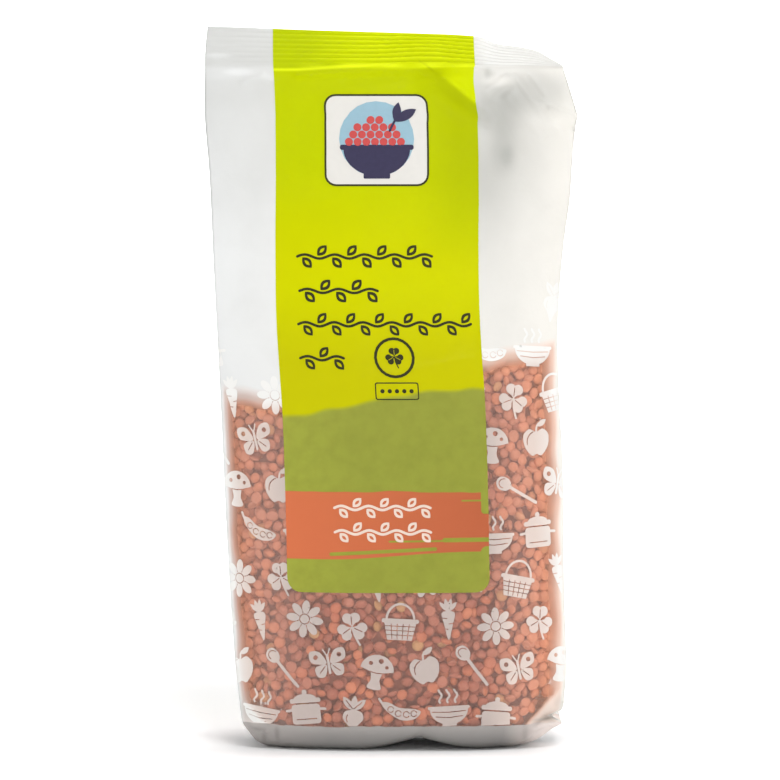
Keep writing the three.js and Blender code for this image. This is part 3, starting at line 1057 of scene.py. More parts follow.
def build_film():
    points, height = film.points, film.height
    rows, count = height.shape
    column = np.arange(count)
    following = (column + 1) % count
    low, high = film.turn_columns
    on_back = (column < low) | (column >= high)
    first = np.where(on_back, BACK_OFFSET + film.place_back[:, :-1], film.place_front[:, :-1])
    second = np.where(on_back, BACK_OFFSET + film.place_back[:, 1:], film.place_front[:, 1:])
    first[:, high:] = BACK_OFFSET + film.place_back[:, high:-1]
    quads, places, heights = [], [], []
    for r in range(rows - 1):
        quads.append(np.stack(strip_corners(r, count), 1))
        places.append(np.stack([first[r], second[r], second[r + 1], first[r + 1]], 1))
        low_row, high_row = height[r], height[r + 1]
        heights.append(np.stack([low_row, low_row[following], high_row[following], high_row], 1))
    all_points = np.concatenate([points.reshape(-1, 3), film.base_centre[None]])
    shell = new_mesh("film_bag", all_points, np.concatenate(quads))
    set_uv(shell, np.concatenate(places).ravel(), np.concatenate(heights).ravel())
    close_ends(shell.data, rows, count, first, height)
    point_values(shell, "stand_off", np.append(film_off, 0.5))
    point_values(shell, "painted_shade", np.append(shell_painted_shade(), 0))
    shell.data.materials.append(film_material())
    return shell


def close_ends(mesh, rows, count, places, heights):
    """Fans the base out from its centre, and joins the two layers along the seal's top edge."""
    build = bmesh.new()
    build.from_mesh(mesh)
    build.verts.ensure_lookup_table()
    uv = build.loops.layers.uv.active
    flat_places, flat_heights = places.reshape(-1), heights.reshape(-1)

    def add(corners):
        face = build.faces.new([build.verts[int(index)] for index in corners])
        face.smooth = True
        for loop in face.loops:
            index = loop.vert.index
            inside = index < rows * count
            loop[uv].uv = (flat_places[index], flat_heights[index]) if inside else (0, heights.min())

    for c in range(count):
        add([rows * count, (c + 1) % count, c])
    top = (rows - 1) * count
    left = film.turn_columns[0]
    for k in range(count // 2):
        opposite = (left - k - 1, left - k, left + k, left + k + 1)
        ring = dict.fromkeys(index % count for index in opposite)
        if len(ring) > 2:
            add([top + index for index in ring])
    build.to_mesh(mesh)
    build.free()


# Lentils

LENTIL_RADIUS = 2.12

# Kinds: share of all lentils, how far each rises above and below its rim, its darkest and lightest colour
LENTIL_KINDS = {
    "lentils_whole": (0.35, 1.25, 1.25, (0.33, 0.085, 0.047, 1), (0.46, 0.15, 0.088, 1)),
    "lentils_split": (0.35, 1.4, 0.35, (0.37, 0.108, 0.062, 1), (0.5, 0.18, 0.112, 1)),
    "lentils_bright": (0.265, 1.3, 1.0, (0.46, 0.118, 0.056, 1), (0.65, 0.215, 0.1, 1)),
    "lentils_pale": (0.035, 1.15, 1.15, (0.42, 0.2, 0.07, 1), (0.56, 0.31, 0.13, 1)),
}

# Depth of the first layer behind the film, and of each later one behind it
FIRST_LAYER = 0.2
LAYER_STEP = 1.7
SPACING = (3.15, 3.4)
SCATTER_TRIES = 42000
TOP_SPACING = 3.3
TOP_TRIES = 9000

# Heap behind the lentils: its rows, how far it keeps from the film, its bottom and its gap below the top
CORE_STEPS = 24
CORE_DEPTH = 4.2
CORE_BOTTOM = 8
CORE_TOP_GAP = 3.5


def scatter(low, high, spacing, tries):
    """Random places in a box, none nearer to another than spacing."""
    cell = spacing / math.sqrt(2)
    shape = [int((high[i] - low[i]) / cell) + 1 for i in range(2)]
    grid = -np.ones(shape, int)
    kept = []
    for x, y in rng.uniform(low, high, (tries, 2)):
        i, j = int((x - low[0]) / cell), int((y - low[1]) / cell)
        if grid[i, j] >= 0:
            continue
        near = grid[max(0, i - 2) : i + 3, max(0, j - 2) : j + 3]
        if any((kept[k][0] - x) ** 2 + (kept[k][1] - y) ** 2 < spacing**2 for k in near[near >= 0]):
            continue
        grid[i, j] = len(kept)
        kept.append((x, y))
    return np.array(kept)


def unit_ball():
    """Points and faces of a ball of 80 faces."""
    build = bmesh.new()
    bmesh.ops.create_icosphere(build, subdivisions=2, radius=1)
    build.verts.ensure_lookup_table()
    points = np.array([v.co for v in build.verts])
    faces = np.array([[v.index for v in f.verts] for f in build.faces])
    build.free()
    return points, faces


def lentil_places():
    """Centre line places, normals and depths of all lentils: a layer against the film and one behind it."""
    points, normals, depths = [], [], []
    for layer, spacing in enumerate(SPACING):
        for half in ("front", "back"):
            spots = scatter((-80, 5), (80, 144), spacing, SCATTER_TRIES)
            found, normal = film.at(half, spots[:, 0], spots[:, 1])
            fill = along(FILL_LINE, found[:, 0]) + 0.8 * wavy(CRINKLE_WAVES, found[:, 0], found[:, 1])
            middle, half_width = width_at(found[:, 2])
            across = np.abs(found[:, 0] - middle) / half_width
            crease_y = along(CREASE_DEPTH, found[:, 2])
            on_gusset = smooth(1.0, 0.8, np.abs(found[:, 1]) / crease_y)
            keep = (found[:, 2] < fill) & ((across < 0.982) | (np.abs(found[:, 1]) < crease_y - 2.4))
            keep &= (half == "front") == (found[:, 1] < 0)
            for corner in EMPTY_CORNERS:
                keep &= beyond_corner(corner, found[:, 0], found[:, 2]) < -1
            gap = 1.8 * smooth(0.86, 0.96, across) * (1 - 0.6 * on_gusset)
            gap += 2.2 * smooth(-10, 0, found[:, 2] - fill)
            gap += 1.5 * smooth(14, 5, found[:, 2])
            points.append(found[keep])
            normals.append(normal[keep])
            depths.append((gap + FIRST_LAYER + layer * LAYER_STEP)[keep])
    return np.concatenate(points), np.concatenate(normals), np.concatenate(depths)


def top_places():
    """Lentils on the level top of the fill."""
    spots = scatter((-68, -27), (60, 25), TOP_SPACING, TOP_TRIES)
    height = along(FILL_LINE, spots[:, 0])
    middle, half = width_at(height)
    across = np.clip((spots[:, 0] - middle) / half, -1, 1)
    crown = 1 - np.abs(across) ** PANEL_CROWN
    front = along(CREASE_DEPTH, height) + along(FRONT_BULGE, height) * crown
    back = along(CREASE_DEPTH, height) + along(BACK_BULGE, height) * crown
    keep = (spots[:, 1] > 5 - front) & (spots[:, 1] < back - 5) & (np.abs(across) < 0.9)
    points = np.column_stack([spots, height])[keep]
    return points, np.tile([0.0, 0.0, 1.0], (len(points), 1)), np.zeros(len(points))


def build_lentils():
    parts = [lentil_places(), top_places()]
    points, normals, depths = (np.concatenate(values) for values in zip(*parts))
    count = len(points)
    order = rng.uniform(size=count)
    size = LENTIL_RADIUS * rng.uniform(0.82, 1.14, count)
    oval = rng.uniform(0.88, 1.0, count)
    tone = np.clip(rng.normal(0.5, 0.28, count), 0, 1)
    tilt = rng.uniform(0, 1, count) ** 1.8 * math.radians(75)
    spin = rng.uniform(0, math.tau, (count, 1))
    ball, faces = unit_ball()
    side = np.cross(normals, [0.3, 0.2, 0.93])
    side /= np.linalg.norm(side, axis=1, keepdims=True)
    other = np.cross(normals, side)
    leaning = side * np.cos(spin) + other * np.sin(spin)
    axis = normals * np.cos(tilt)[:, None] + leaning * np.sin(tilt)[:, None]
    first = np.cross(axis, leaning + 0.1)
    first /= np.linalg.norm(first, axis=1, keepdims=True)
    second = np.cross(axis, first)
    low_share = 0.0
    made = []
    for name, (share, up, down, dark, light) in LENTIL_KINDS.items():
        chosen = np.flatnonzero((order >= low_share) & (order < low_share + share))
        low_share += share
        flip = np.where(rng.uniform(size=len(chosen)) < 0.5, 1.0, -1.0)
        rise = np.where(ball[:, 2] > 0, up, down) * ball[:, 2]
        local_x = ball[None, :, 0] * size[chosen][:, None]
        local_y = ball[None, :, 1] * (size * oval)[chosen][:, None]
        local_z = rise[None] * (size[chosen] / LENTIL_RADIUS)[:, None] * flip[:, None]
        body = (
            local_x[..., None] * first[chosen][:, None]
            + local_y[..., None] * second[chosen][:, None]
            + local_z[..., None] * axis[chosen][:, None]
        )
        reach = (body * normals[chosen][:, None]).sum(-1).max(1)
        body += (points[chosen] - normals[chosen] * (depths[chosen] + reach)[:, None])[:, None]
        all_faces = (faces[None] + (np.arange(len(chosen)) * len(ball))[:, None, None]).reshape(-1, 3)
        thing = new_mesh(name, body.reshape(-1, 3), all_faces)
        point_values(thing, "tone", np.repeat(tone[chosen], len(ball)))
        point_values(thing, "glow", np.repeat(painted_glow_at(points[chosen]), len(ball)))
        thing.data.materials.append(lentil_material(name, dark, light))
        made.append(thing)
    return made


def build_core():
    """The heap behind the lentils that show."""
    face, across = film.face, film.across
    rings = []
    for i in range(CORE_STEPS + 1):
        outer = wall(face, across, np.full(across.shape, 20.0), fine=False)
        top = along(FILL_LINE, outer[:, 0]) - CORE_TOP_GAP
        z = CORE_BOTTOM + (top - CORE_BOTTOM) * i / CORE_STEPS
        ring = wall(face, across, np.maximum(z, 14), fine=False)
        middle, half = width_at(z)
        depth = along(CREASE_DEPTH, z) + along(FRONT_BULGE, z)
        squeeze = 1 - 0.25 * max(0, 1 - i / 3)
        x = middle + (ring[:, 0] - middle) * (half - CORE_DEPTH - 3) / half * squeeze
        y = ring[:, 1] * (depth - CORE_DEPTH) / depth * squeeze
        rings.append(np.stack([x, y, z], -1))
    points = np.array(rings)
    rows, count = points.shape[:2]
    faces = []
    for r in range(rows - 1):
        a, b, c, d = strip_corners(r, count)
        faces += [np.stack([a, b, c], 1), np.stack([a, c, d], 1)]
    ends = []
    for row, turn in ((0, False), (rows - 1, True)):
        for k in range(count // 2):
            a, b, c, d = k % count, k + 1, (-k) % count, (-k - 1) % count
            triangles = [(a, b, c)] * (a != c) + [(b, d, c)] * (b != d)
            for triangle in triangles:
                triangle = [row * count + index for index in triangle]
                ends.append(triangle if turn else triangle[::-1])
    core = new_mesh("lentil_core", points.reshape(-1, 3), np.concatenate(faces + [np.array(ends)]))
    core.data.materials.append(plain_material("lentil_core", CORE_RED, 0.8, 0.25, 350.0))
    return core


# Flat shapes of ink, as closed loops of (x, y) in millimetres


def arc_points(x, y, rx, ry=None, start=0, end=360, steps=24):
    ry = rx if ry is None else ry
    turn = np.radians(np.linspace(start, end, steps + 1))
    if abs(end - start) >= 360:
        turn = turn[:-1]
    return np.column_stack([x + rx * np.cos(turn), y + ry * np.sin(turn)])


def leaf(x0, y0, x1, y1, width, steps=8):
    """A pointed oval from one tip to the other."""
    t = np.linspace(0, 1, steps + 1)
    run = np.array([x1 - x0, y1 - y0], float)
    across = np.array([-run[1], run[0]]) / np.hypot(*run) * width / 2
    bulge = np.sin(np.pi * t)[:, None] ** 0.85 * across
    spine = np.array([x0, y0]) + t[:, None] * run
    return np.concatenate([(spine - bulge)[:-1], (spine + bulge)[::-1][:-1]])


def stroke(points, width):
    """A thick line along points, with round ends."""
    points = np.asarray(points, float)
    run = np.gradient(points, axis=0)
    run /= np.linalg.norm(run, axis=1, keepdims=True)
    across = np.column_stack([-run[:, 1], run[:, 0]]) * width / 2
    tips = []
    for end, away in ((points[-1], run[-1]), (points[0], -run[0])):
        turn = math.degrees(math.atan2(away[1], away[0]))
        tips.append(arc_points(end[0], end[1], width / 2, None, turn - 60, turn + 60, 4))
    return np.concatenate([points - across, tips[0], (points + across)[::-1], tips[1]])


def smooth_loop(points, steps=6):
    """A smooth closed curve through points."""
    points = np.asarray(points, float)
    before, after = np.roll(points, 1, 0), np.roll(points, -1, 0)
    slope = (after - before) / 2
    out = []
    for t in np.arange(steps) / steps:
        out.append(
            points * (1 + 2 * t) * (1 - t) ** 2
            + after * (3 - 2 * t) * t**2
            + slope * t * (1 - t) ** 2
            - np.roll(slope, -1, 0) * (1 - t) * t**2
        )
    return np.stack(out, 1).reshape(-1, 2)


def box_loop(x, y, half_x, half_y, radius=0.0, steps=5):
    if radius <= 0:
        signs = ((-1, -1), (1, -1), (1, 1), (-1, 1))
        return np.array([(x + sx * half_x, y + sy * half_y) for sx, sy in signs])
    corners = []
    for sx, sy, start in ((1, 1, 0), (-1, 1, 90), (-1, -1, 180), (1, -1, 270)):
        centre = (x + sx * (half_x - radius), y + sy * (half_y - radius))
        corners.append(arc_points(*centre, radius, None, start, start + 90, steps))
    return np.concatenate(corners)


def disc(x, y, radius, steps=12):
    return arc_points(x, y, radius, None, 0, 360, steps)


def strokes(width, *lines):
    return [stroke(points, width) for points in lines]


def turn_matrix(angle):
    """Turns rows of (x, y) by an angle."""
    return np.array([[math.cos(angle), math.sin(angle)], [-math.sin(angle), math.cos(angle)]])


# Small figures, each as a list of solid loops and a list of loops cut out of them


def pod():
    body = [(-6.5, 3.2), (-4.5, 0.2), (0, -2.6), (4.6, -2.2), (6.6, 0.2), (4, 1.2), (-0.5, 1.6), (-4.2, 3.4)]
    peas = ((-3.4, 1), (-0.9, -0.4), (1.8, -0.7), (4.3, -0.4))
    solids = [smooth_loop(body), stroke([(-6.2, 3.1), (-7.2, 4.6)], 0.8)]
    return solids, strokes(0.28, *(arc_points(x, y, 1.0, None, 20, 330, 14) for x, y in peas))


def carrot():
    root = [(-2.2, 2.2), (0, 3.0), (2.2, 2.2), (1.5, -1.6), (0.1, -6.8), (-1.4, -1.6)]
    tips = ((-2.9, 6.0), (-1.0, 7.2), (1.0, 7.2), (2.9, 6.0))
    solids = [smooth_loop(root)] + [leaf(0, 2.8, x, y, 1.5) for x, y in tips]
    marks = [(-2.2, 0.6), (-0.4, 0.4)], [(0.3, -1.4), (1.6, -1.2)], [(-1.4, -3.0), (-0.1, -3.2)]
    return solids, strokes(0.3, *marks)


def mushroom():
    cap = np.concatenate([arc_points(0, 0.6, 5.6, 5.2, 0, 180, 18), [(-3, -0.2), (0, -0.5), (3, -0.2)]])
    stem = [(-1.7, 0.2), (1.7, 0.2), (1.5, -3.0), (2.4, -5.6), (0, -6.2), (-2.4, -5.6), (-1.5, -3.0)]
    rim = [(-5.3, 0.5), (-2.6, -0.25), (0, -0.5), (2.6, -0.25), (5.3, 0.5)]
    spots = ((-2.4, 2.6, 0.7), (0.9, 3.8, 0.85), (3.1, 2.0, 0.6))
    return [cap, smooth_loop(stem)], strokes(0.32, rim) + [disc(*spot) for spot in spots]


def bowl():
    solids = [arc_points(0, 0, 6.4, 5.4, 180, 360, 20)]
    solids += [box_loop(0, 0.35, 7.0, 0.55, 0.5), box_loop(0, -5.3, 2.4, 0.6)]
    for x in (-2.6, 0, 2.6):
        solids.append(stroke([(x + 0.5 * math.sin(y * 1.7), y) for y in np.linspace(2.2, 6.4, 8)], 0.75))
    rings = [(-5.6, -0.9), (0, -1.2), (5.6, -0.9)], [(-4.4, -2.6), (0, -3.0), (4.4, -2.6)]
    return solids, strokes(0.3, *rings)


def flower():
    petal = arc_points(0, 0, 2.3, 1.35, 0, 360, 14)
    turns = [math.tau * k / 8 for k in range(8)]
    solids = [petal @ turn_matrix(turn) + (4.1 * math.cos(turn), 4.1 * math.sin(turn)) for turn in turns]
    solids.append(arc_points(0, 0, 2.2))
    return solids, strokes(0.3, arc_points(0, 0, 1.7, None, 0, 345, 20))


def apple():
    body = [(0, 2.6), (2.6, 3.6), (4.8, 1.6), (4.4, -2.2), (1.9, -5.2)]
    body += [(0, -4.7), (-1.9, -5.2), (-4.4, -2.2), (-4.8, 1.6), (-2.6, 3.6)]
    stalk = [(0, 2.4), (0.3, 4.4), (1.0, 5.4)]
    solids = [smooth_loop(body), stroke(stalk, 0.7), leaf(0.6, 4.4, 4.0, 6.6, 1.9)]
    return solids, strokes(0.35, arc_points(0, -0.8, 3.5, 3.6, 110, 190, 8))


def pot():
    solids = [box_loop(0, -2.2, 4.9, 3.4, 1.1), box_loop(0, 2.4, 5.3, 0.8, 0.7)]
    solids += [arc_points(0, 3.0, 3.9, 1.7, 0, 180, 12), disc(0, 5.3, 0.9)]
    solids += strokes(0.9, [(-4.6, -0.6), (-6.6, -0.8)], [(4.6, -0.6), (6.6, -0.8)])
    return solids, strokes(0.3, [(-5.2, 1.5), (5.2, 1.5)], [(-3.4, -3.9), (3.4, -3.9)])


def clover():
    solids, cuts = [stroke([(0, 0), (0.6, -3.2), (1.9, -6.2)], 0.7)], []
    for turn in (90, 210, 330):
        a = math.radians(turn)
        out, side = np.array([math.cos(a), math.sin(a)]), np.array([-math.sin(a), math.cos(a)])
        solids += [disc(*(out * 3.1 + side * s), 1.75, 16) for s in (-1.25, 1.25)]
        solids.append(np.array([out * 0.2, out * 2.5 - side * 2.6, out * 4.2, out * 2.5 + side * 2.6]))
        cuts.append(stroke([out * 0.9, out * 3.6], 0.3))
    return solids, cuts


def spoon():
    solids = [smooth_loop([(-6.2, 4.4), (-4.2, 5.6), (-1.7, 4.0), (-1.5, 1.4), (-3.8, 0.6), (-6.1, 2.0)])]
    solids.append(stroke([(-2.4, 1.8), (2.0, -2.2), (6.2, -5.8)], 1.1))
    return solids, strokes(0.3, arc_points(-3.9, 3.2, 1.6, 1.5, 60, 250, 12))


def radish():
    body = [(0, 2.0), (2.7, 1.4), (3.4, -1.0), (1.4, -3.6), (0.2, -6.6)]
    body += [(-1.4, -3.6), (-3.4, -1.0), (-2.7, 1.4)]
    leaves = [leaf(0, 1.8, -3.6, 6.4, 2.4), leaf(0, 1.8, 0.4, 7.0, 2.2), leaf(0, 1.8, 4.0, 5.8, 2.4)]
    cuts = strokes(0.26, [(-0.2, 2.4), (-2.6, 5.2)], [(0.2, 2.4), (2.8, 4.8)])
    return [smooth_loop(body)] + leaves, cuts + strokes(0.3, arc_points(0, -0.9, 2.2, None, 150, 215, 6))


def basket():
    sides = np.array([(-5.4, 0.6), (-4.1, -5.6), (4.1, -5.6), (5.4, 0.6)])
    solids = [sides, box_loop(0, 0.9, 6.2, 0.7, 0.6)]
    solids.append(stroke(arc_points(0, 1.2, 4.6, 5.4, 8, 172, 16), 0.8))
    cuts = strokes(0.26, *([(-4.9, y), (4.9, y)] for y in (-0.9, -2.4, -3.9)))
    return solids, cuts + strokes(0.26, *([(x, -0.2), (x * 0.85, -5.2)] for x in (-3, -1, 1, 3)))


def butterfly():
    upper = [(0.7, 0.2), (2.4, 4.4), (5.8, 4.8), (5.6, 1.2)]
    lower = [(0.7, -0.2), (4.6, -0.6), (4.4, -3.8), (1.8, -4.0)]
    solids = [stroke([(0, -3.0), (0, 3.0)], 0.9)]
    for side in (-1, 1):
        for wing in (upper, lower):
            solids.append(smooth_loop([(side * x, y) for x, y in wing][::side]))
        solids.append(stroke([(side * 0.2, 3.0), (side * 1.2, 5.2)], 0.45))
    cuts = [disc(side * 4.0, 2.8, 0.8) for side in (-1, 1)]
    return solids, cuts + strokes(0.3, *([(side * 1.4, -0.7), (side * 3.4, -2.7)] for side in (-1, 1)))


MOTIFS = (pod, carrot, mushroom, bowl, flower, apple, pot, clover, spoon, radish, basket, butterfly)


def inside_loop(points, loop):
    """Which points lie inside a closed loop."""
    x, y = points[:, :1], points[:, 1:]
    x0, y0 = loop.T
    x1, y1 = np.roll(loop, -1, 0).T
    crosses = (y0 > y) != (y1 > y)
    rise = np.where(y1 == y0, 1e-9, y1 - y0)
    left_of = x < (x1 - x0) * (y - y0) / rise + x0
    return (crosses & left_of).sum(1) % 2 == 1


def refine(loop, step):
    """The loop with points added so that no side is much longer than step."""
    out = []
    for start, end in zip(loop, np.roll(loop, -1, 0)):
        pieces = max(1, math.ceil(np.hypot(*(end - start)) / step))
        out.append(start + (end - start) * (np.arange(pieces) / pieces)[:, None])
    return np.concatenate(out)


def fill_shape(solids, cuts, step=1.5):
    """Points and triangles that fill the solids and leave out the cuts."""
    loops = [refine(loop, step) for loop in [*solids, *cuts]]
    points = np.concatenate(loops)
    edges, start = [], 0
    for loop in loops:
        edges += [(start + i, start + (i + 1) % len(loop)) for i in range(len(loop))]
        start += len(loop)
    low, high = points.min(0), points.max(0)
    ticks = [np.arange(low[i] + step / 2, high[i], step) for i in (0, 1)]
    grid = np.stack(np.meshgrid(*ticks), -1).reshape(-1, 2)
    within = np.any([inside_loop(grid, loop) for loop in loops[: len(solids)]], 0)
    points = np.concatenate([points, grid[within]])
    found, _, faces, *_ = geometry.delaunay_2d_cdt([Vector(p) for p in points], edges, [], 0, 1e-4)
    found, faces = np.array(found), np.array(faces)
    middle = found[faces].mean(1)
    keep = np.any([inside_loop(middle, loop) for loop in loops[: len(solids)]], 0)
    for loop in loops[len(solids) :]:
        keep &= ~inside_loop(middle, loop)
    faces = faces[keep]
    a, b, c = (found[faces[:, k]] for k in range(3))
    area = (b[:, 0] - a[:, 0]) * (c[:, 1] - a[:, 1]) - (b[:, 1] - a[:, 1]) * (c[:, 0] - a[:, 0])
    faces = faces[np.abs(area) > 1e-5]
    area = area[np.abs(area) > 1e-5]
    return found, np.where(area[:, None] > 0, faces, faces[:, ::-1])


class Ink:
    """Collects flat shapes and lays them on the film as one piece."""

    def __init__(self):
        self.points, self.faces, self.off, self.count = [], [], [], 0

    def add(self, half, solids, cuts=(), gap=INK_GAP, at=(0, 0), size=1.0, turn=0.0, mask=()):
        """Adds a shape at a place and height on one half, and leaves out what lies in the mask's loops."""
        spin = turn_matrix(math.radians(turn)) * size
        moved = [[np.asarray(loop, float) @ spin + at for loop in loops] for loops in (solids, cuts)]
        spots, faces = fill_shape(moved[0], moved[1] + list(mask))
        used, faces = np.unique(faces, return_inverse=True)
        faces = faces.reshape(-1, 3)
        if not len(used):
            return
        spot = film.locate(half, spots[used, 0], spots[used, 1])
        found, normal = film.surface(spot)
        self.points.append(found + normal * gap)
        self.off.append(film.sample(film_off[..., None], spot)[:, 0])
        self.faces.append(faces + self.count)
        self.count += len(used)

    def build(self, name, material):
        points = np.concatenate(self.points)
        thing = new_mesh(name, points, np.concatenate(self.faces))
        point_values(thing, "stand_off", np.concatenate(self.off))
        point_values(thing, "glow", painted_glow_at(points))
        thing.data.materials.append(material)
        return thing


# At its right edge the label leaves the lentils this much lower than the clear film beside it
LABEL_LAG = 3.8


def build_label():
    """The lime label as a fine sheet on the film, up to the seal's top edge."""
    heights = np.concatenate(
        [
            LABEL_BOTTOM + LABEL_RADIUS * (1 - np.cos(np.linspace(0, math.pi / 2, 12))),
            np.linspace(LABEL_BOTTOM + LABEL_RADIUS + 0.8, SEAL_Z, 230),
            np.linspace(SEAL_Z, LABEL_TOP - 0.02, SEAL_RIBS * RIB_STEPS + 1)[1:],
        ]
    )
    rise = np.clip(heights - LABEL_BOTTOM, 0, LABEL_RADIUS)
    half = LABEL_HALF - LABEL_RADIUS + np.sqrt(LABEL_RADIUS**2 - (LABEL_RADIUS - rise) ** 2)
    across = np.linspace(-1, 1, 90)
    places = LABEL_CENTRE + half[:, None] * across
    spread = np.broadcast_to(heights[:, None], places.shape)
    spot = film.locate("front", places.ravel(), spread.ravel())
    found, normal = film.surface(spot)
    rows, count = places.shape
    index = np.arange(rows * count).reshape(rows, count)
    quads = np.stack([index[:-1, :-1], index[:-1, 1:], index[1:, 1:], index[1:, :-1]], -1).reshape(-1, 4)
    label = new_mesh("label", found + normal * INK_GAP, quads)
    set_uv(label, places.ravel()[quads].ravel(), spread.ravel()[quads].ravel())
    lag = 1.5 + LABEL_LAG * smooth(3, 28, found[:, 0])
    point_values(label, "stand_off", film_stand_off(found[:, 0], found[:, 2] + lag, 99.0))
    # Which way each rib faces the light, for the label's painted highlight and shade
    point_values(label, "rib", film.sample(film.rib[..., None], spot)[:, 0])
    label.data.materials.append(label_material())
    return label


ICON_ROW = 15.7
ICON_COLUMN = 16.6
ICON_FIRST_ROW = 13.5
ICON_ROWS = 10
ICON_SIZE = 1.04
ICON_TURN_DEG = 12


def back_panel_outline(margin):
    return box_loop(31, 128, 21 + margin, 62 + margin, 4)


def build_icons():
    """Rows of small white kitchen and garden figures all round, where the lentils are."""
    ink = Ink()
    label = box_loop(LABEL_CENTRE, LABEL_BOTTOM + 100, LABEL_HALF, 100, LABEL_RADIUS)
    foot = box_loop(0, WHITE_BAND_TOP - 49.8, 110, 50)
    folded = np.array([(42, 4), (60, 24), (90, 24), (90, 4)], float)
    masks = {"front": [label, foot, folded], "back": [back_panel_outline(0.8), foot]}
    for half, mask in masks.items():
        for row in range(ICON_ROWS):
            for column in range(-5, 6):
                motif = MOTIFS[(row * 5 + column * 3 + (half == "back") * 2 + row // 3) % len(MOTIFS)]
                place = (column + 0.5 * (row % 2)) * ICON_COLUMN
                height = ICON_FIRST_ROW + row * ICON_ROW + 1.5 * math.sin(column * 2.1)
                fill = along(FILL_LINE, place if half == "front" else -place)
                on_corner = half == "front" and place > 40 and height < 25
                if abs(place) > 73 or height > fill + 16 or on_corner:
                    continue
                covered = abs(place - LABEL_CENTRE) < LABEL_HALF - 7 and height > LABEL_BOTTOM + 8
                if half == "front" and covered:
                    continue
                solids, cuts = motif()
                turn = ICON_TURN_DEG * math.sin(row * 1.7 + column * 2.9)
                ink.add(half, solids, cuts, at=(place, height), size=ICON_SIZE, turn=turn, mask=mask)
    return ink.build("icons", icon_material())


def vine(width, height=7.0):
    """A plain border of a wavy stem with outlined leaves above and below it."""
    leaves = max(2, round(width / 5.0))
    pitch = width / leaves
    stem = [(x, 0.7 * math.sin(math.pi * x / pitch)) for x in np.linspace(0, width, leaves * 6 + 1)]
    solids, cuts = [stroke(stem, 0.9)], []
    for k in range(leaves):
        side = 1 if k % 2 else -1
        x = (k + 0.35) * pitch
        tip = (x + pitch * 0.62, side * height * 0.55)
        solids.append(leaf(x, side * 0.3, *tip, pitch * 0.6))
        inner = (x + pitch * 0.15, side * (0.3 + height * 0.14)), (x + pitch * 0.48, side * height * 0.42)
        cuts.append(leaf(*inner[0], *inner[1], pitch * 0.2))
    return solids, cuts


# Borders on the label: place of the left end, height, width
DARK_BORDERS = [(-31.5, 171, 46.5), (-30.8, 159.2, 27), (-31.5, 147.8, 59.5), (-31.5, 136.2, 15)]
WHITE_BORDERS = [(-22, 85, 33), (-22, 76.6, 33)]
PLATE_CENTRE = (-4.1, 211.0)
PLATE_HALF = (17.4, 15.2)
PLATE_RADIUS = 3.4
PLATE_RIM = 0.7
MARK_PLACE = 0.9
BOX_CENTRE = (1.0, 125)


def build_dark_ink():
    """The label's dark ornaments: borders, a round mark, a small box, and the plate's outline."""
    ink = Ink()
    for place, height, width in DARK_BORDERS:
        ink.add("front", *vine(width), gap=OVERPRINT_GAP, at=(place, height))
    ring = [arc_points(0, 0, 7)], [arc_points(0, 0, 6)]
    ink.add("front", *ring, gap=OVERPRINT_GAP, at=(MARK_PLACE, 136.4))
    ink.add("front", *clover(), gap=OVERPRINT_GAP, at=(MARK_PLACE, 136.8), size=0.62)
    box = [box_loop(0, 0, 7.5, 3, 0.8)], [box_loop(0, 0, 7.1, 2.6, 0.6)]
    ink.add("front", *box, gap=OVERPRINT_GAP, at=BOX_CENTRE)
    dots = [disc(place, 0, 0.75) for place in np.linspace(-5, 5, 5)]
    ink.add("front", dots, gap=OVERPRINT_GAP, at=BOX_CENTRE)
    outline = box_loop(0, 0, PLATE_HALF[0] + PLATE_RIM, PLATE_HALF[1] + PLATE_RIM, PLATE_RADIUS + 0.6)
    ink.add("front", [outline], at=PLATE_CENTRE, gap=OUTLINE_GAP)
    return ink.build("dark_ink", plain_material("dark_ink", DARK_INK, 0.5, 0.1, 800.0))


def build_white_ink():
    ink = Ink()
    for place, height, width in WHITE_BORDERS:
        ink.add("front", *vine(width, 6.2), gap=OVERPRINT_GAP, at=(place, height))
    return ink.build("white_ink", plain_material("white_ink", WHITE_INK, 0.5, 0.04, 800.0))


def build_emblem():
    """The label's plate: a bowl heaped with lentils before a pale blue round."""
    x, y = PLATE_CENTRE
    plate, sky, navy, red = Ink(), Ink(), Ink(), Ink()
    plate.add("front", [box_loop(0, 0, *PLATE_HALF, PLATE_RADIUS)], at=PLATE_CENTRE, gap=PLATE_GAP)
    sky.add("front", [arc_points(0, 0, 13)], at=(x, y + 0.4), gap=ON_PLATE_GAP)
    bowl_loops = [arc_points(0, 0, 11.6, 9.6, 180, 360, 24)]
    bowl_loops += [box_loop(0, 0.3, 12.8, 0.9, 0.8), box_loop(0, -9.6, 4.6, 0.9, 0.4)]
    navy.add("front", bowl_loops, gap=BOWL_GAP, at=(x, y - 2.8))
    sprig = [leaf(0, 0, 7.6, 4.2, 3.4), leaf(0, 0, 1.6, 6.6, 3.0), stroke([(0, 0), (-1.6, -3.2)], 0.8)]
    navy.add("front", sprig, gap=SPRIG_GAP, at=(x + 6.2, y + 6.4))
    discs = []
    for row, reach in enumerate((9.0, 7.5, 6.0, 1.5)):
        for place in np.arange(-reach, reach + 0.1, 3.0):
            discs.append(disc(place, 2.2 + row * 2.5, 1.4, 16))
    red.add("front", discs, gap=BOWL_GAP, at=(x - 0.6, y - 2.8))
    return [
        plate.build("plate", plain_material("plate", PLATE_WHITE, 0.5, 0.03, 400.0)),
        sky.build("plate_round", plain_material("plate_round", ROUND_BLUE, 0.5, 0.05, 500.0)),
        navy.build("plate_bowl", plain_material("plate_bowl", BOWL_NAVY, 0.5, 0.1, 700.0)),
        red.build("plate_lentils", plain_material("plate_lentils", HEAP_RED, 0.5, 0.1, 700.0)),
    ]


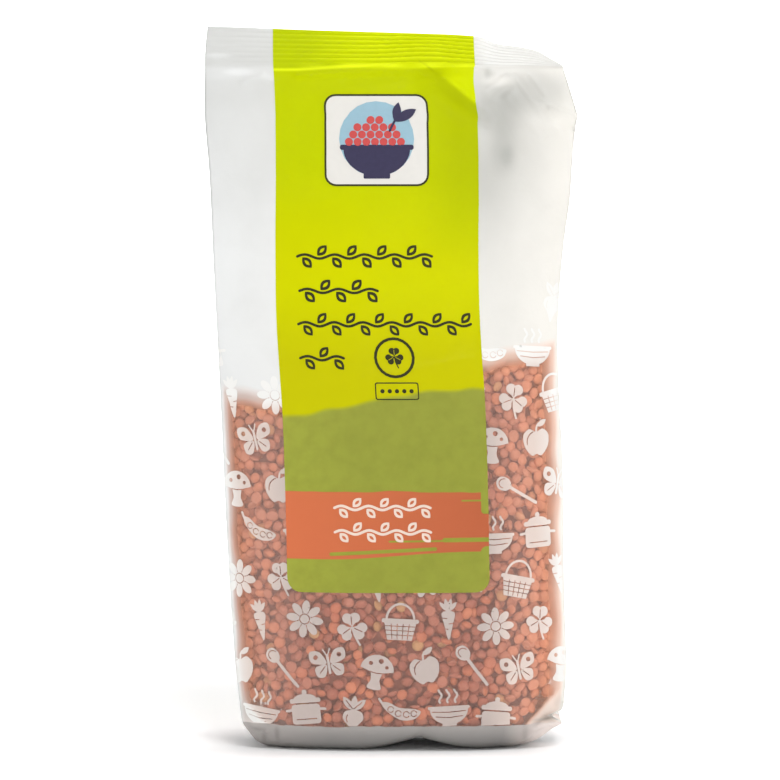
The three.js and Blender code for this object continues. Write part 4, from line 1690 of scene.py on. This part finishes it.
def build_back_panel():
    """A lime panel with a bare white field beside the lap seam."""
    lime, field, rules = Ink(), Ink(), Ink()
    lime.add("back", [back_panel_outline(0)], gap=INK_GAP)
    field.add("back", [box_loop(0, 0, 17.5, 26, 2)], at=(31, 154), gap=OVERPRINT_GAP)
    for k in range(7):
        rules.add("back", [box_loop(0, 0, 15.5, 0.16)], at=(31, 174 - 6 * k), gap=ON_PLATE_GAP)
    for height in (116, 78):
        rules.add("back", *vine(33, 6), at=(14.5, height), gap=PLATE_GAP)
    return [
        lime.build("back_lime", plain_material("back_lime", LIME, 0.5, 0.03, 300.0, 0.97)),
        field.build("back_field", plain_material("back_field", PLATE_WHITE, 0.5, 0.03, 400.0)),
        rules.build("back_ink", plain_material("back_ink", DARK_INK, 0.5, 0.1, 800.0)),
    ]


def build_print():
    pieces = [build_label(), build_icons(), build_dark_ink(), build_white_ink()]
    return pieces + build_emblem() + build_back_panel()


# Stage, lights and camera

CAMERA_DISTANCE = 1.5
CAMERA_ELEVATION = math.radians(4)
PIXEL_MM = 0.35
PHOTO_PIXELS = 780
SENSOR_MM = 36
TARGET = Vector((-4.7, 0, 123.6))


def build_camera():
    data = bpy.data.cameras.new("camera")
    data.sensor_width = SENSOR_MM
    data.lens = CAMERA_DISTANCE / MM / PIXEL_MM / PHOTO_PIXELS * SENSOR_MM
    data.clip_start = 0.05
    data.clip_end = 20
    camera = bpy.data.objects.new("camera", data)
    bpy.context.scene.collection.objects.link(camera)
    target = (TARGET + Vector(TO_PART)) * MM
    back = Vector((0, -math.cos(CAMERA_ELEVATION), math.sin(CAMERA_ELEVATION)))
    camera.location = target + back * CAMERA_DISTANCE
    camera.rotation_euler = (-back).to_track_quat("-Z", "Y").to_euler()
    bpy.context.scene.camera = camera


def stage_material():
    """Pale matt floor that glows a little beyond the bag, so that shadows on it stay light."""
    s = Shader("stage")
    shade = s.mix(s.noise(3.0), (0.92, 0.92, 0.92, 1), (0.94, 0.94, 0.94, 1))
    parts = s.nodes.new("ShaderNodeSeparateXYZ")
    s.links.new(s.nodes.new("ShaderNodeTexCoord").outputs["Object"], parts.inputs[0])
    under = s.rounded_box(parts.outputs[0], parts.outputs[1], (0.0, 0.0), (0.062, 0.028), 0.02, 0.03)
    glow = s.times(s.inverse(under), 0.44)
    white = (1, 1, 1, 1)
    solid = s.principled(
        Base_Color=shade,
        Roughness=0.95,
        Specular_IOR_Level=0.1,
        Emission_Color=white,
        Emission_Strength=glow,
    )
    return s.finish(solid)


def build_stage():
    """A pale round floor that curves up into a low wall."""
    floor_radius, curve, rise = 2.1, 0.6, 1.3
    arc_steps, turns = 14, 72
    profile = [(0.05, 0.0), (0.6, 0.0), (floor_radius, 0.0)]
    for i in range(1, arc_steps + 1):
        angle = math.pi / 2 * i / arc_steps
        profile.append((floor_radius + curve * math.sin(angle), curve * (1 - math.cos(angle))))
    profile.append((floor_radius + curve, rise))
    angles = math.tau * np.arange(turns) / turns
    points = [(r * math.cos(a), r * math.sin(a), z) for r, z in profile for a in angles] + [(0, 0, 0)]
    faces = []
    for row in range(len(profile) - 1):
        for k in range(turns):
            a, b = row * turns + k, row * turns + (k + 1) % turns
            faces += [(a, b + turns, b), (a, a + turns, b + turns)]
    centre = len(profile) * turns
    faces += [(centre, k, (k + 1) % turns) for k in range(turns)]
    stage = new_mesh("stage", np.array(points) / MM - TO_PART, faces)
    stage.data.materials.append(stage_material())


def area_light(name, place, aim, size, power, spread=180):
    data = bpy.data.lights.new(name, "AREA")
    data.shape = "RECTANGLE"
    data.size, data.size_y = size
    data.energy = power
    data.spread = math.radians(spread)
    light = bpy.data.objects.new(name, data)
    bpy.context.scene.collection.objects.link(light)
    light.location = place
    light.rotation_euler = (Vector(aim) - Vector(place)).to_track_quat("-Z", "Y").to_euler()


def build_light():
    area_light("key", (0.25, -0.8, 1.35), (0, 0, 0.15), (0.5, 0.4), 9.9)
    area_light("right", (0.85, 0.1, 0.95), (0, 0, 0.15), (0.6, 0.8), 2.4)
    area_light("left", (-0.95, -0.3, 0.8), (0, 0, 0.12), (0.8, 0.8), 1.2)
    area_light("backdrop", (0, 0.8, 1.9), (0, 2.0, 0.2), (3.0, 0.6), 36, 105)
    world = bpy.data.worlds.new("world")
    world.use_nodes = True
    background = world.node_tree.nodes["Background"]
    background.inputs["Color"].default_value = (1, 1, 1, 1)
    background.inputs["Strength"].default_value = 0.155
    scene = bpy.context.scene
    scene.world = world
    scene.view_settings.view_transform = "Standard"
    scene.cycles.use_denoising = True


build_camera()
build_stage()
build_light()
shell = build_film()
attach(shell, "root")
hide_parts("bag")
for grain in [build_core()] + build_lentils():
    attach(grain, "root")
for ink in build_print():
    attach(ink, "root")
